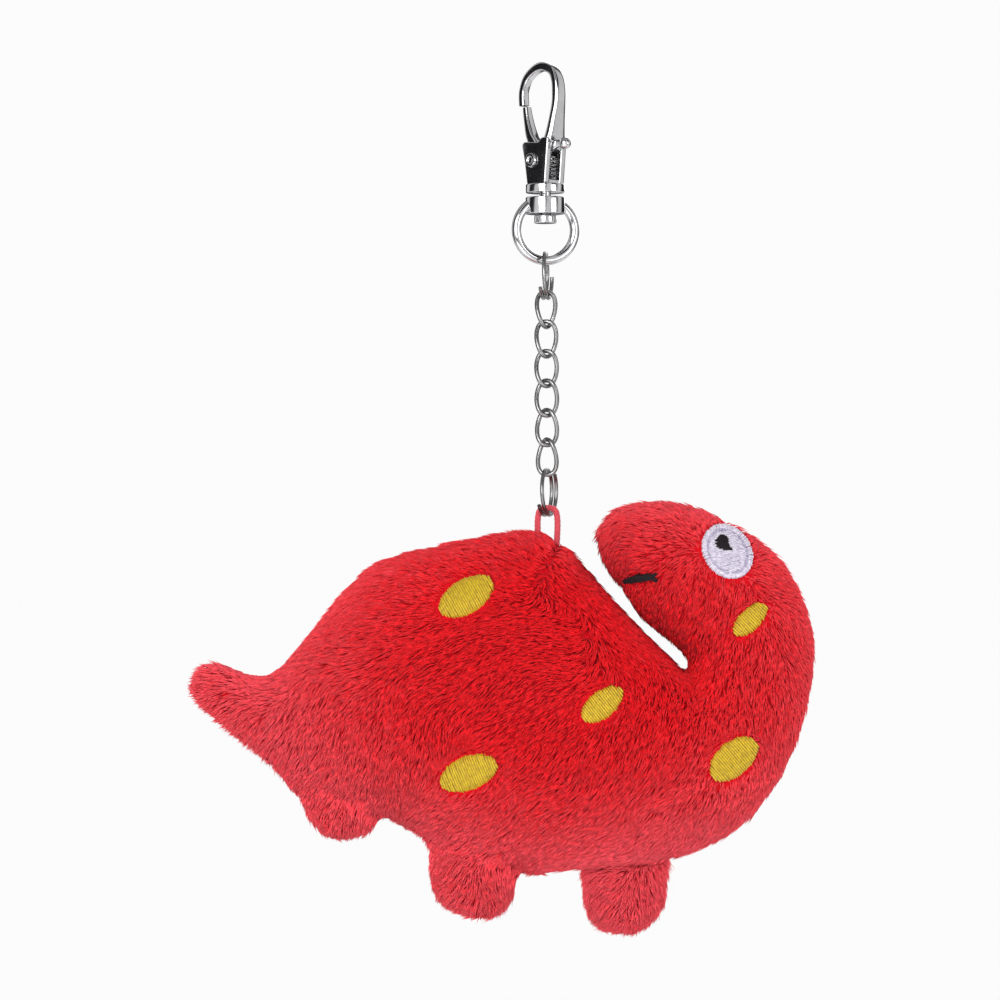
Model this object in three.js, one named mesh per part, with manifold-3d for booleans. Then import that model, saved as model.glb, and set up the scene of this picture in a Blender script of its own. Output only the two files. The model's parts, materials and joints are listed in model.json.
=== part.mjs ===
// A plush dinosaur on a short chain, with a trigger snap hook to hang it by.
// Millimetres, +Z up, +X towards the dinosaur's chest, the seen face towards -Y.
// The origin is the point inside the hook's crown that rests on whatever the hook hangs from.
import * as THREE from "three";
import { LoftGeometry } from "three/addons/geometries/LoftGeometry.js";
import { mergeVertices } from "three/addons/utils/BufferGeometryUtils.js";
import Module from "manifold-3d";

const wasm = await Module();
wasm.setup();

// ---- clearances ----
const runningGap = 0.15; // round a pin, a stem or a rivet
const sideGap = 0.25; // beside a moving lever or under a swivel
const chainGap = 0.15; // between one wire and the wire that hangs on it
const seamGap = 0.15; // from a sewn edge to the seam's middle plane
const layerGap = 0.3; // between one soft layer and the next

// ---- snap hook ----
const hookYaw = THREE.MathUtils.degToRad(-45); // the hook's plane, turned about the vertical
const hookLength = 24.4; // crown's inside to the collar's underside
const crownBar = 1.85; // height of the bar over the hanging point
const hookMouth = 8.2; // clear width inside the hook, tip to spine
const bodyDepth = 5.6; // across both cheeks
const cavityWidth = 2.9; // between the cheeks
const collarRadius = 3.9;
const collarHeight = 1.8;
const floorThickness = 0.9; // under the cavity, above the collar
const leverThickness = cavityWidth - 2 * sideGap;
const pinRadius = 0.65;
const pinHeadRadius = 1.5;
const pinHeadHeight = 0.5;
const pivot = { s: -1, rise: 6.5 }; // the pivot, above the collar's underside
const knobRadius = 1.2;
const springWire = 0.36;
const springRadius = 0.68; // of the wire's middle
const springTurns = 5;

// ---- swivel ----
const stemRadius = 1.15;
const stemHeadRadius = 2.25;
const stemHeadHeight = 1.6;
const stemSeat = 1.3; // how far the stem reaches into the collar
const bossRadius = 3.95;
const bossHeight = 3.4;
const bossDrop = 0.8; // from the collar to the boss
const ringOuter = 14.1; // across the swivel ring
const ringWire = 1.9;
const ringBelowBoss = 3.15; // the boss's underside to the ring's centre
const ringYaw = THREE.MathUtils.degToRad(17);

// ---- jump rings and chain ----
const jumpWire = 0.85;
const jumpSideGap = 0.1; // between a jump ring's two turns
const doubledGap = 0.15; // more room for what hangs where two turns lie side by side
const upperJump = { outer: 9.9, yaw: 82, start: 215, turns: 1.4 };
const lowerJump = { outer: 9.95, yaw: 74, start: 215, turns: 1.54 };
const linkCount = 6;
const linkLength = 7.95;
const linkWidth = 5;
const linkWire = 0.95;
const linkTwist = 60; // degrees, top to bottom
const firstLinkYaw = 30;
const linkYawStep = -12;

// ---- plush ----
const plushLength = 124; // tail tip to chest, over the cloth
const plushHeight = 87; // head to the soles
const plushThickness = 30; // through the belly
const skinThickness = 2; // cloth and pile
const seamDrop = 6.5; // the loop's top to the seam that holds it
const loopCord = 1.3;
const loopEase = 0.35; // the loop's crown past the ring's turns, each way
const loopFlare = 0.6; // the strands past the crown
const loopTuck = 1.5; // how far the strands reach below the seam
const forelegShift = 5; // the sewn-on foreleg sits behind the middle plane
const stitchDepth = 0.5; // embroidery's thickness
const stitchGap = 0.25; // round a patch of embroidery, in its panel

// The outline the plush was drawn at; its real length, height and thickness scale it.
const drawn = { length: 124, height: 87, thickness: 30 };

// Ribs of the body, tail tip to nose, from the seam at the loop: the back or throat end (x, z),
// the belly or crown end (x, z) and half the thickness there.
const bodyRibs = [
  [-70.8, -28.3, -70.8, -30.9, 1.6],
  [-68.6, -25.0, -67.8, -33.6, 3.4],
  [-63.4, -26.6, -65.0, -36.0, 4.4],
  [-57.4, -27.4, -59.6, -40.2, 5.4],
  [-53.0, -25.0, -55.2, -43.6, 6.6],
  [-47.6, -18.6, -50.4, -50.2, 8.2],
  [-42.2, -12.0, -43.8, -53.6, 10.3],
  [-35.4, -4.8, -35.4, -55.6, 12.3],
  [-26.6, -1.8, -26.2, -58.8, 13.8],
  [-15.8, 0.2, -15.8, -63.6, 14.8],
  [-5.8, 1.0, -4.8, -66.4, 15.0],
  [0.8, -0.4, 5.2, -65.8, 15.0],
  [6.5, -6.0, 14.6, -65.0, 15.0],
  [12.3, -11.2, 23.8, -63.6, 15.0],
  [17.9, -17.6, 32.4, -60.4, 14.6],
  [22.7, -22.4, 40.2, -54.8, 13.8],
  [26.4, -26.5, 46.7, -45.6, 12.8],
  [29.0, -26.4, 50.1, -36.2, 11.8],
  [29.1, -23.8, 51.7, -28.0, 11.0],
  [28.0, -21.2, 52.0, -21.0, 10.4],
  [25.1, -18.7, 50.7, -13.6, 10.1],
  [21.9, -16.5, 48.0, -7.0, 10.0],
  [19.4, -14.4, 43.3, -1.6, 10.0],
  [17.3, -11.5, 37.1, 2.8, 9.8],
  [15.3, -8.2, 29.8, 5.8, 9.2],
  [13.4, -6.2, 22.5, 6.9, 8.4],
  [11.4, -3.8, 15.7, 6.1, 6.8],
  [10.2, -1.6, 11.1, 2.8, 3.6],
];

// Legs, top to sole: tail-side edge x, chest-side edge x, z and half the thickness.
const hindLegRibs = [
  [-50.6, -35.6, -42.0, 5.0],
  [-49.8, -35.4, -51.0, 6.4],
  [-47.6, -35.2, -55.6, 6.4],
  [-45.0, -36.0, -58.0, 4.8],
  [-42.6, -38.4, -59.0, 2.2],
];
const middleLegRibs = [
  [-22.6, -7.6, -50.0, 5.4],
  [-23.8, -6.8, -58.0, 6.6],
  [-23.2, -7.0, -66.0, 7.2],
  [-22.2, -7.8, -70.2, 6.8],
  [-19.8, -9.2, -73.2, 5.0],
  [-16.4, -11.2, -74.6, 2.2],
];
const forelegRibs = [
  [7.2, 23.2, -58.0, 6.6],
  [6.8, 23.4, -66.0, 7.0],
  [7.0, 22.8, -71.0, 6.8],
  [8.0, 21.6, -75.0, 5.4],
  [11.2, 17.8, -78.4, 2.4],
];

// Embroidered patches: centre (x, z), half axes and tilt in degrees.
const spots = [
  { x: -16.3, z: -10.8, major: 5.9, minor: 3.7, tilt: 30 },
  { x: 10.2, z: -32.0, major: 4.7, minor: 2.9, tilt: 39 },
  { x: -15.9, z: -45.3, major: 5.9, minor: 3.7, tilt: 23 },
  { x: 36.0, z: -43.0, major: 5.5, minor: 3.8, tilt: 39 },
  { x: 39.6, z: -15.8, major: 4.1, minor: 2.35, tilt: 43 },
];
const eye = { x: 35.3, z: -2.5, major: 5.6, minor: 4.7, tilt: -50 };
const pupil = { x: 34.2, z: -1.1, size: 1.5 };
const mouth = { x: 15.8, z: -7.3, length: 5.4, height: 1.1, slope: 3 };

// ---- mesh resolution ----
const wireSides = 8;
const outside = { sides: 14, body: 34, leg: 7 }; // a surface that shows
const inside = { sides: 10, body: 20, leg: 7 }; // a surface under another
const bluntEnd = 0.5; // least half width of a shape's end
const trimStep = 0.0005; // how finely a shape's ends are shortened, as a share of its length

// ---- materials ----
function finish(color, roughness, metalness) {
  return () => new THREE.MeshStandardMaterial({ color, roughness, metalness });
}
const nickel = finish(0xb9bbbf, 0.18, 1);
const darkSteel = finish(0x85878a, 0.3, 1);
const redPile = finish(0xc8131d, 0.95, 0);
const redCord = finish(0xc93344, 0.85, 0);
const fibre = finish(0xf2efe9, 0.95, 0);
const yellowThread = finish(0xe2c21a, 0.6, 0);
const whiteThread = finish(0xd8d2df, 0.6, 0);
const blackThread = finish(0x2a2430, 0.6, 0);

// ---- solids from three.js geometry ----
function solid(geometry) {
  const bare = (geometry.index ? geometry.toNonIndexed() : geometry).clone();
  bare.deleteAttribute("normal");
  bare.deleteAttribute("uv");
  const merged = mergeVertices(bare, 1e-4);
  const triVerts = new Uint32Array(merged.index.array);
  const make = () =>
    new wasm.Manifold(
      new wasm.Mesh({ numProp: 3, vertProperties: merged.attributes.position.array, triVerts }),
    );
  const made = make();
  if (made.volume() > 0) return made;
  triVerts.reverse();
  return make();
}

function geometryOf(manifold) {
  const mesh = manifold.getMesh();
  const points = new Float32Array(mesh.numVert * 3);
  for (let i = 0; i < mesh.numVert; i++) {
    const from = i * mesh.numProp;
    points.set(mesh.vertProperties.slice(from, from + 3), 3 * i);
  }
  const geometry = new THREE.BufferGeometry();
  geometry.setAttribute("position", new THREE.BufferAttribute(points, 3));
  geometry.setIndex([...mesh.triVerts]);
  geometry.computeVertexNormals();
  return geometry;
}

const keychain = new THREE.Group();

function addNode(name, shape, material, parent = keychain) {
  const geometry = shape.isBufferGeometry ? shape : geometryOf(shape);
  const mesh = new THREE.Mesh(geometry, material());
  mesh.name = name;
  parent.add(mesh);
  return mesh;
}

function unite(solids) {
  return solids.reduce((sum, next) => sum.add(next));
}

function box(x0, x1, y0, y1, z0, z1) {
  const geometry = new THREE.BoxGeometry(x1 - x0, y1 - y0, z1 - z0);
  geometry.translate((x0 + x1) / 2, (y0 + y1) / 2, (z0 + z1) / 2);
  return solid(geometry);
}

// A turned piece on the vertical axis, from its (radius, z) profile.
function turned(profile, sides = 24) {
  const outline = profile.map(([r, z]) => new THREE.Vector2(r, z));
  const geometry = new THREE.LatheGeometry(outline, sides);
  geometry.rotateX(Math.PI / 2); // the lathe's axis stands up
  return solid(geometry);
}

function upright(radius, z0, z1, sides = 24) {
  return turned([[0, z0], [radius, z0], [radius, z1], [0, z1]], sides);
}

// A bar whose rounded section follows a line in the hook's plane; each stop gives the middle of the
// section (s, z), its width in the plane and its depth across the plane.
function bar(stops, steps, sides = 10) {
  const middle = new THREE.CatmullRomCurve3(stops.map(([s, z]) => new THREE.Vector3(s, 0, z)));
  const size = new THREE.CatmullRomCurve3(stops.map(([, , w, d]) => new THREE.Vector3(w, d, 0)));
  const sections = [];
  for (let k = 0; k <= steps; k++) {
    const centre = middle.getPoint(k / steps);
    const along = middle.getTangent(k / steps);
    const { x: width, y: depth } = size.getPoint(k / steps);
    sections.push(
      Array.from({ length: sides }, (_, j) => {
        const a = (2 * Math.PI * j) / sides;
        const across = (width / 2) * squared(Math.cos(a));
        const through = (depth / 2) * squared(Math.sin(a));
        return new THREE.Vector3(centre.x - along.z * across, through, centre.z + along.x * across);
      }),
    );
  }
  return lofted(sections);
}

// A closed loft through rings of points, each put in the order that faces the walls outwards.
function lofted(sections) {
  const [first, second] = sections;
  const ahead = second[0].clone().sub(first[0]);
  const quarter = Math.floor(first.length / 4);
  const across = first[0].clone().sub(first[2 * quarter]);
  const upward = first[quarter].clone().sub(first[3 * quarter]);
  const facing = across.cross(upward).dot(ahead);
  const rings = facing > 0 ? sections : sections.map((ring) => [...ring].reverse());
  return solid(new LoftGeometry(rings, { capStart: true, capEnd: true }));
}

// Swells a circle's sine or cosine towards a square with round corners.
function squared(value, power = 0.7) {
  return Math.sign(value) * Math.abs(value) ** power;
}

// ---- snap hook ----
const collarBottom = -hookLength;
const collarTop = collarBottom + collarHeight;
const cavityFloor = collarTop + floorThickness;
const pivotZ = collarBottom + pivot.rise;
const mouthLeft = -0.62 * hookMouth; // the tip's inner side
const mouthRight = mouthLeft + hookMouth; // the spine's inner side
const spineTop = pivotZ + 4.4; // where the slot through the spine ends
const cheekTop = pivotZ + 3.5;
const hook = new THREE.Group();
hook.rotation.z = hookYaw;
keychain.add(hook);

function cheekOutline() {
  const shape = new THREE.Shape();
  shape.moveTo(-2.4, collarTop - 0.2);
  shape.lineTo(2.5, collarTop - 0.2);
  shape.lineTo(3.0, pivotZ);
  shape.lineTo(3.45, spineTop);
  shape.lineTo(1.6, spineTop);
  shape.lineTo(0.8, cheekTop);
  shape.lineTo(-3.2, cheekTop + 0.3);
  shape.lineTo(-3.8, cheekTop - 0.3);
  shape.lineTo(-3.1, pivotZ);
  shape.closePath();
  return shape;
}

// An outline in the hook's plane given its depth, centred across the plane.
function slab(shape, depth, curveSegments = 12) {
  const geometry = new THREE.ExtrudeGeometry(shape, { depth, bevelEnabled: false, curveSegments });
  geometry.rotateX(Math.PI / 2);
  geometry.translate(0, depth / 2, 0);
  return solid(geometry);
}

function crossPin(radius, length, z = pivotZ, sides = 20) {
  const geometry = new THREE.CylinderGeometry(radius, radius, length, sides);
  geometry.translate(pivot.s, 0, z);
  return solid(geometry);
}

function hookBar() {
  const tipWidth = 1.5;
  const spineWidth = 1.6;
  const left = mouthLeft - tipWidth / 2;
  const right = mouthRight + spineWidth / 2;
  return bar(
    [
      [left + 0.1, -6.5, tipWidth, 2.0],
      [left, -5.0, 1.5, 2.0],
      [left + 0.15, -3.3, 1.5, 1.9],
      [left + 1.25, -1.1, 1.6, 1.9],
      [left + 3.5, 0.45, 1.75, 2.1],
      [0, crownBar / 2, crownBar, 2.2],
      [right - 1.55, 0, 1.8, 2.2],
      [right - 0.35, -1.9, 1.7, 2.6],
      [right, -4.3, spineWidth, 2.9],
      [right - 0.1, -6.8, 1.5, 3.1],
      [right - 0.5, -9.4, 1.5, 3.7],
      [right - 0.95, -12, 1.7, 4.4],
      [right - 1.35, spineTop - 0.6, 1.8, bodyDepth - 0.3],
    ],
    28,
  );
}

function hookBody() {
  const cheeks = slab(cheekOutline(), bodyDepth);
  const collar = turned([
    [0, collarBottom],
    [collarRadius - 0.25, collarBottom],
    [collarRadius, collarBottom + 0.25],
    [collarRadius, collarTop - 0.25],
    [collarRadius - 0.25, collarTop],
    [0, collarTop],
  ]);
  const cavity = box(-8, 8, -cavityWidth / 2, cavityWidth / 2, cavityFloor, spineTop - 0.4);
  const boreTop = collarBottom + stemSeat + sideGap;
  const stemBore = upright(stemRadius + runningGap, collarBottom - 1, boreTop);
  return unite([hookBar(), cheeks, collar])
    .subtract(cavity)
    .subtract(stemBore)
    .subtract(crossPin(pinRadius + runningGap, bodyDepth * 2));
}

function pivotPin() {
  const reach = bodyDepth / 2 + chainGap + pinHeadHeight;
  const profile = [
    [0, -reach],
    [pinHeadRadius - 0.2, -reach],
    [pinHeadRadius, -reach + 0.2],
    [pinHeadRadius, -reach + pinHeadHeight],
    [pinRadius, -reach + pinHeadHeight],
    [pinRadius, reach - pinHeadHeight],
    [pinHeadRadius, reach - pinHeadHeight],
    [pinHeadRadius, reach - 0.2],
    [pinHeadRadius - 0.2, reach],
    [0, reach],
  ];
  const dimple = 0.2;
  const pin = turned(profile, 16);
  const cups = [-reach, reach].map((z) => upright(0.7, z - dimple, z + dimple, 12));
  const geometry = geometryOf(pin.subtract(cups[0]).subtract(cups[1]));
  geometry.rotateX(-Math.PI / 2);
  geometry.translate(pivot.s, 0, pivotZ);
  return geometry;
}

function gateLever() {
  const tipS = mouthLeft + 0.1;
  const gate = bar(
    [
      [tipS, -6.9, 1.2, 1.7],
      [tipS + 0.5, -9.5, 1.4, 2.0],
      [tipS + 1.4, -12.6, 2.0, 2.3],
      [pivot.s - 1.2, pivotZ + 2.9, 2.5, leverThickness],
      [pivot.s, pivotZ, 2.6, leverThickness],
    ],
    8,
  );
  const hub = crossPin(2, leverThickness, pivotZ, 20);
  const trigger = bar(
    [
      [pivot.s, pivotZ + 0.6, 2.2, leverThickness],
      [1.4, pivotZ + 1.9, 1.9, leverThickness],
      [3.6, pivotZ + 2.9, 1.8, leverThickness],
      [4.9, pivotZ + 3.1, 1.4, 1.9],
    ],
    5,
  );
  const knob = new THREE.SphereGeometry(knobRadius, 12, 8);
  knob.translate(5.6, 0, pivotZ + 3.1);
  return unite([gate, hub, trigger, solid(knob)]).subtract(
    crossPin(pinRadius + runningGap, bodyDepth),
  );
}

class Helix extends THREE.Curve {
  constructor(radius, turns, rise, start = 0) {
    super();
    Object.assign(this, { radius, turns, rise, start });
  }
  getPoint(t, target = new THREE.Vector3()) {
    const a = this.start + 2 * Math.PI * this.turns * t;
    return target.set(this.radius * Math.cos(a), this.radius * Math.sin(a), this.rise * (t - 0.5));
  }
}

// A wire of round section along an open curve.
function wire(curve, diameter, steps, sides = wireSides) {
  const section = new THREE.Shape();
  section.absarc(0, 0, diameter / 2, 0, 2 * Math.PI);
  return new THREE.ExtrudeGeometry(section, {
    steps,
    extrudePath: curve,
    curveSegments: sides / 2, // a full circle takes twice as many
    bevelEnabled: false,
  });
}

function leverSpring() {
  const bottom = cavityFloor + sideGap;
  const top = pivotZ + 0.75;
  const rise = top - bottom - springWire;
  const geometry = wire(new Helix(springRadius, springTurns, rise), springWire, 50, 6);
  geometry.translate(1.95, 0, (top + bottom) / 2);
  return solid(geometry);
}

addNode("clasp_hook", hookBody(), nickel, hook);
addNode("lever_pivot_pin", pivotPin(), nickel, hook);
addNode("gate_lever", gateLever(), nickel, hook);
addNode("lever_spring", leverSpring(), darkSteel, hook);

// ---- swivel ----
const bossTop = collarBottom - bossDrop;
const bossBottom = bossTop - bossHeight;
const stemHeadTop = bossBottom - sideGap;
const ringCentre = bossBottom - ringBelowBoss;
const ringBottomInside = ringCentre - ringOuter / 2 + ringWire;

function swivelStem() {
  const headBottom = stemHeadTop - stemHeadHeight;
  return turned([
    [0, headBottom],
    [stemHeadRadius - 0.35, headBottom],
    [stemHeadRadius, headBottom + 0.35],
    [stemHeadRadius, stemHeadTop],
    [stemRadius, stemHeadTop],
    [stemRadius, collarBottom + stemSeat],
    [0, collarBottom + stemSeat],
  ]);
}

function swivelRing() {
  const hoop = new THREE.TorusGeometry((ringOuter - ringWire) / 2, ringWire / 2, 10, 36);
  hoop.rotateX(Math.PI / 2);
  hoop.translate(0, 0, ringCentre);
  const boss = turned([
    [0, bossBottom],
    [bossRadius - 0.2, bossBottom],
    [bossRadius, bossBottom + 0.2],
    [bossRadius, bossTop - 0.2],
    [bossRadius - 0.2, bossTop],
    [0, bossTop],
  ]);
  const above = box(-ringOuter, ringOuter, -ringOuter, ringOuter, bossTop, 0);
  const stemBore = upright(stemRadius + runningGap, bossBottom - 1, bossTop + 1);
  return solid(hoop).add(boss).subtract(above).subtract(stemBore);
}

addNode("swivel_stem", swivelStem(), nickel);
addNode("swivel_ring", swivelRing(), nickel).rotation.z = ringYaw;

// ---- jump rings and chain ----
// A cut ring of round wire, its ends lying side by side, standing on edge.
function jumpRing(name, { outer, yaw, start, turns }, top) {
  const radius = (outer - jumpWire) / 2;
  const rise = (jumpWire + jumpSideGap) * turns;
  const helix = new Helix(radius, turns, rise, THREE.MathUtils.degToRad(start));
  const geometry = wire(helix, jumpWire, Math.round(24 * turns));
  geometry.rotateX(Math.PI / 2);
  const mesh = addNode(name, solid(geometry), darkSteel);
  mesh.rotation.z = THREE.MathUtils.degToRad(yaw);
  mesh.position.z = top - outer / 2;
  return top - outer + jumpWire + doubledGap; // where the next piece hangs
}

// The middle line of a long link whose two ends are turned against each other.
class TwistedLink extends THREE.Curve {
  getPoint(t, target = new THREE.Vector3()) {
    const a = 2 * Math.PI * t;
    const halfWidth = (linkWidth - linkWire) / 2;
    const halfLength = (linkLength - linkWire) / 2;
    const lift = Math.sin(a);
    const across = halfWidth * Math.cos(a);
    const z = halfWidth * lift + ((halfLength - halfWidth) * lift * (3 - lift * lift)) / 2;
    const turn = -THREE.MathUtils.degToRad((linkTwist * z) / (2 * halfLength));
    return target.set(across * Math.cos(turn), across * Math.sin(turn), z);
  }
}

function chainLink(name, yaw, top) {
  const geometry = new THREE.TubeGeometry(new TwistedLink(), 26, linkWire / 2, wireSides, true);
  const mesh = addNode(name, solid(geometry), darkSteel);
  mesh.rotation.z = THREE.MathUtils.degToRad(yaw);
  mesh.position.z = top - linkLength / 2;
  return top - linkLength + linkWire;
}

let hangingFrom = jumpRing("upper_jump_ring", upperJump, ringBottomInside + chainGap + jumpWire);
for (let i = 0; i < linkCount; i++) {
  const yaw = firstLinkYaw + i * linkYawStep;
  hangingFrom = chainLink(`chain_link_${i + 1}`, yaw, hangingFrom + chainGap + linkWire);
}
hangingFrom = jumpRing("lower_jump_ring", lowerJump, hangingFrom + chainGap + jumpWire);

// ---- plush ----
const loopTop = hangingFrom + chainGap + loopCord / 2; // of the cord's middle
const plush = new THREE.Group();
plush.position.z = loopTop - seamDrop;
keychain.add(plush);
const grow = {
  x: plushLength / drawn.length,
  y: plushThickness / drawn.thickness,
  z: plushHeight / drawn.height,
};

// The cord of the loop: up one strand, round over the ring and down the other.
function loopPath(tuck = loopTuck) {
  const crown = jumpWire + jumpSideGap / 2 + loopEase;
  const strand = crown + loopFlare;
  const points = [
    [-strand, -tuck],
    [-strand - 0.15, 0.35 * seamDrop],
    [-strand, seamDrop - 1.4],
    [-crown, seamDrop - 0.25],
    [0, seamDrop],
    [crown, seamDrop - 0.25],
    [strand, seamDrop - 1.4],
    [strand + 0.1, 0.35 * seamDrop],
    [strand - 0.1, -tuck],
  ];
  return new THREE.CatmullRomCurve3(points.map(([x, z]) => new THREE.Vector3(x, 0, z)));
}

// A stuffed shape through elliptical ribs: each rib runs between two seam points and bulges to its
// half thickness on both sides. The inset draws every rib in from the surface by that much, and
// shortens the shape by as much at both ends.
function stuffed(ribs, stations, inset = 0, shiftY = 0) {
  const { sides } = inset < skinThickness ? outside : inside;
  const through = (points) => new THREE.CatmullRomCurve3(points);
  const one = through(ribs.map(([x, z]) => new THREE.Vector3(x * grow.x, 0, z * grow.z)));
  const other = through(ribs.map(([, , x, z]) => new THREE.Vector3(x * grow.x, 0, z * grow.z)));
  const depth = through(ribs.map((rib) => new THREE.Vector3(rib[4] * grow.y, 0, 0)));
  const ribAt = (u) => {
    const from = one.getPoint(u);
    const to = other.getPoint(u);
    const centre = from.clone().add(to).multiplyScalar(0.5);
    return { centre, half: to.sub(from).multiplyScalar(0.5), thick: depth.getPoint(u).x };
  };
  const tips = [ribAt(0).centre, ribAt(1).centre];
  const holds = (u) => {
    const { centre, half, thick } = ribAt(u);
    const room = Math.min(half.length(), thick) - inset;
    return room > bluntEnd && tips.every((tip) => centre.distanceTo(tip) >= inset);
  };
  let [start, end] = [0, 1];
  while (inset > 0 && !holds(start)) start += trimStep;
  while (inset > 0 && !holds(end)) end -= trimStep;
  const sliver = 0.2 / stations;
  const between = Array.from({ length: stations + 1 }, (_, k) => k / stations).filter(
    (u) => u > start + sliver && u < end - sliver,
  );
  const sections = [start, ...between, end].map((u) => {
    const { centre, half, thick } = ribAt(u);
    const reach = half.clone().multiplyScalar(1 - inset / half.length());
    return Array.from({ length: sides }, (_, j) => {
      const a = (2 * Math.PI * j) / sides;
      const point = centre.clone().addScaledVector(reach, Math.cos(a));
      point.y = (thick - inset) * squared(Math.sin(a), 0.9) + shiftY;
      return point;
    });
  });
  return lofted(sections);
}

function legRibs(rows) {
  return rows.map(([left, right, z, thick]) => [left, z, right, z, thick]);
}

function bodySolid(inset) {
  const { body, leg } = inset < skinThickness ? outside : inside;
  return unite([
    stuffed(bodyRibs, body, inset),
    stuffed(legRibs(hindLegRibs), leg, inset),
    stuffed(legRibs(middleLegRibs), leg, inset),
  ]);
}

// An outline in the plush's own plane, cut through from the middle plane to one side.
const through = 2 * plushThickness;
function cutter(shape, side, curveSegments = 9) {
  const geometry = new THREE.ExtrudeGeometry(shape, {
    depth: through,
    bevelEnabled: false,
    curveSegments,
  });
  geometry.rotateX(Math.PI / 2); // its depth now runs towards -Y
  if (side > 0) geometry.translate(0, through, 0);
  return solid(geometry);
}

function ovalOutline({ x, z, major, minor, tilt }, gap = 0) {
  const shape = new THREE.Shape();
  const turn = THREE.MathUtils.degToRad(tilt);
  const [cx, cz] = [x * grow.x, z * grow.z];
  shape.absellipse(cx, cz, major + gap, minor + gap, 0, 2 * Math.PI, false, turn);
  return shape;
}

// A round top with ragged stitch ends to the nose's side and a point towards the cheek.
function pupilOutline(gap = 0) {
  const corners = [
    [-0.65, 0.95],
    [0.4, 1.0],
    [0.85, 0.5],
    [1.1, -0.1],
    [1.4, -0.85],
    [-0.1, -0.8],
    [-1.15, -0.15],
    [-0.75, 0.1],
    [-1.1, 0.55],
  ];
  const points = corners.map(([x, z]) => {
    const swell = pupil.size + gap / Math.hypot(x, z);
    return new THREE.Vector2(pupil.x * grow.x + x * swell, pupil.z * grow.z + z * swell);
  });
  return new THREE.Shape(points);
}

function mouthOutline(gap = 0) {
  const turn = THREE.MathUtils.degToRad(mouth.slope);
  const half = mouth.height / 2 + gap;
  const start = new THREE.Vector2(mouth.x * grow.x, mouth.z * grow.z);
  const reach = new THREE.Vector2(Math.cos(turn), Math.sin(turn)).multiplyScalar(mouth.length);
  const end = start.clone().add(reach);
  const shape = new THREE.Shape();
  shape.absarc(start.x, start.y, half, turn + Math.PI / 2, turn + 1.5 * Math.PI);
  shape.absarc(end.x, end.y, half, turn - Math.PI / 2, turn + Math.PI / 2);
  shape.closePath();
  return shape;
}

const stitched = [
  ...spots.map((spot, i) => ({
    name: `spot_${i + 1}`,
    outline: (gap) => ovalOutline(spot, gap),
    material: yellowThread,
  })),
  { name: "eye_white", outline: (gap) => ovalOutline(eye, gap), material: whiteThread },
  { name: "mouth", outline: mouthOutline, material: blackThread },
];

const bodyShape = bodySolid(0);
const fabricSkin = bodyShape.subtract(bodySolid(skinThickness));
const stitchLayer = bodyShape.subtract(bodySolid(stitchDepth));
const pocketLayer = bodySolid(-layerGap).subtract(bodySolid(stitchDepth + layerGap));
const loopPocket = solid(wire(loopPath(loopTuck + layerGap), loopCord + 2 * runningGap, 26));

function sideOf(shape, side, middle = 0) {
  const far = 4 * plushLength;
  const near = middle + side * seamGap;
  const edge = middle + side * far;
  return shape.intersect(box(-far, far, Math.min(near, edge), Math.max(near, edge), -far, far));
}

for (const [label, side] of [["front", -1], ["back", 1]]) {
  let panel = sideOf(fabricSkin, side).subtract(loopPocket);
  const layer = sideOf(stitchLayer, side);
  for (const { name, outline, material } of stitched) {
    let patch = layer.intersect(cutter(outline(0), side));
    if (name === "eye_white") patch = patch.subtract(cutter(pupilOutline(runningGap), side));
    addNode(`${label}_${name}`, patch, material, plush);
    panel = panel.subtract(pocketLayer.intersect(cutter(outline(stitchGap), side)));
  }
  addNode(`${label}_pupil`, layer.intersect(cutter(pupilOutline(), side)), blackThread, plush);
  addNode(`${label}_panel`, panel, redPile, plush);
}
addNode("body_filling", bodySolid(skinThickness + layerGap), fibre, plush);
addNode("fabric_loop", solid(wire(loopPath(), loopCord, 26)), redCord, plush);

// The foreleg is a bag of its own, sewn on behind the belly's edge.
function foreleg(inset) {
  const clear = bodySolid(-seamGap - Math.max(inset, 0));
  const { leg } = inset < skinThickness ? outside : inside;
  return stuffed(legRibs(forelegRibs), leg, inset, forelegShift).subtract(clear);
}
const forelegSkin = foreleg(0).subtract(foreleg(skinThickness));
addNode("foreleg_front_panel", sideOf(forelegSkin, -1, forelegShift), redPile, plush);
addNode("foreleg_back_panel", sideOf(forelegSkin, 1, forelegShift), redPile, plush);
addNode("foreleg_filling", foreleg(skinThickness + layerGap), fibre, plush);

export default keychain;
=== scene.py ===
import json
import math

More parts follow.
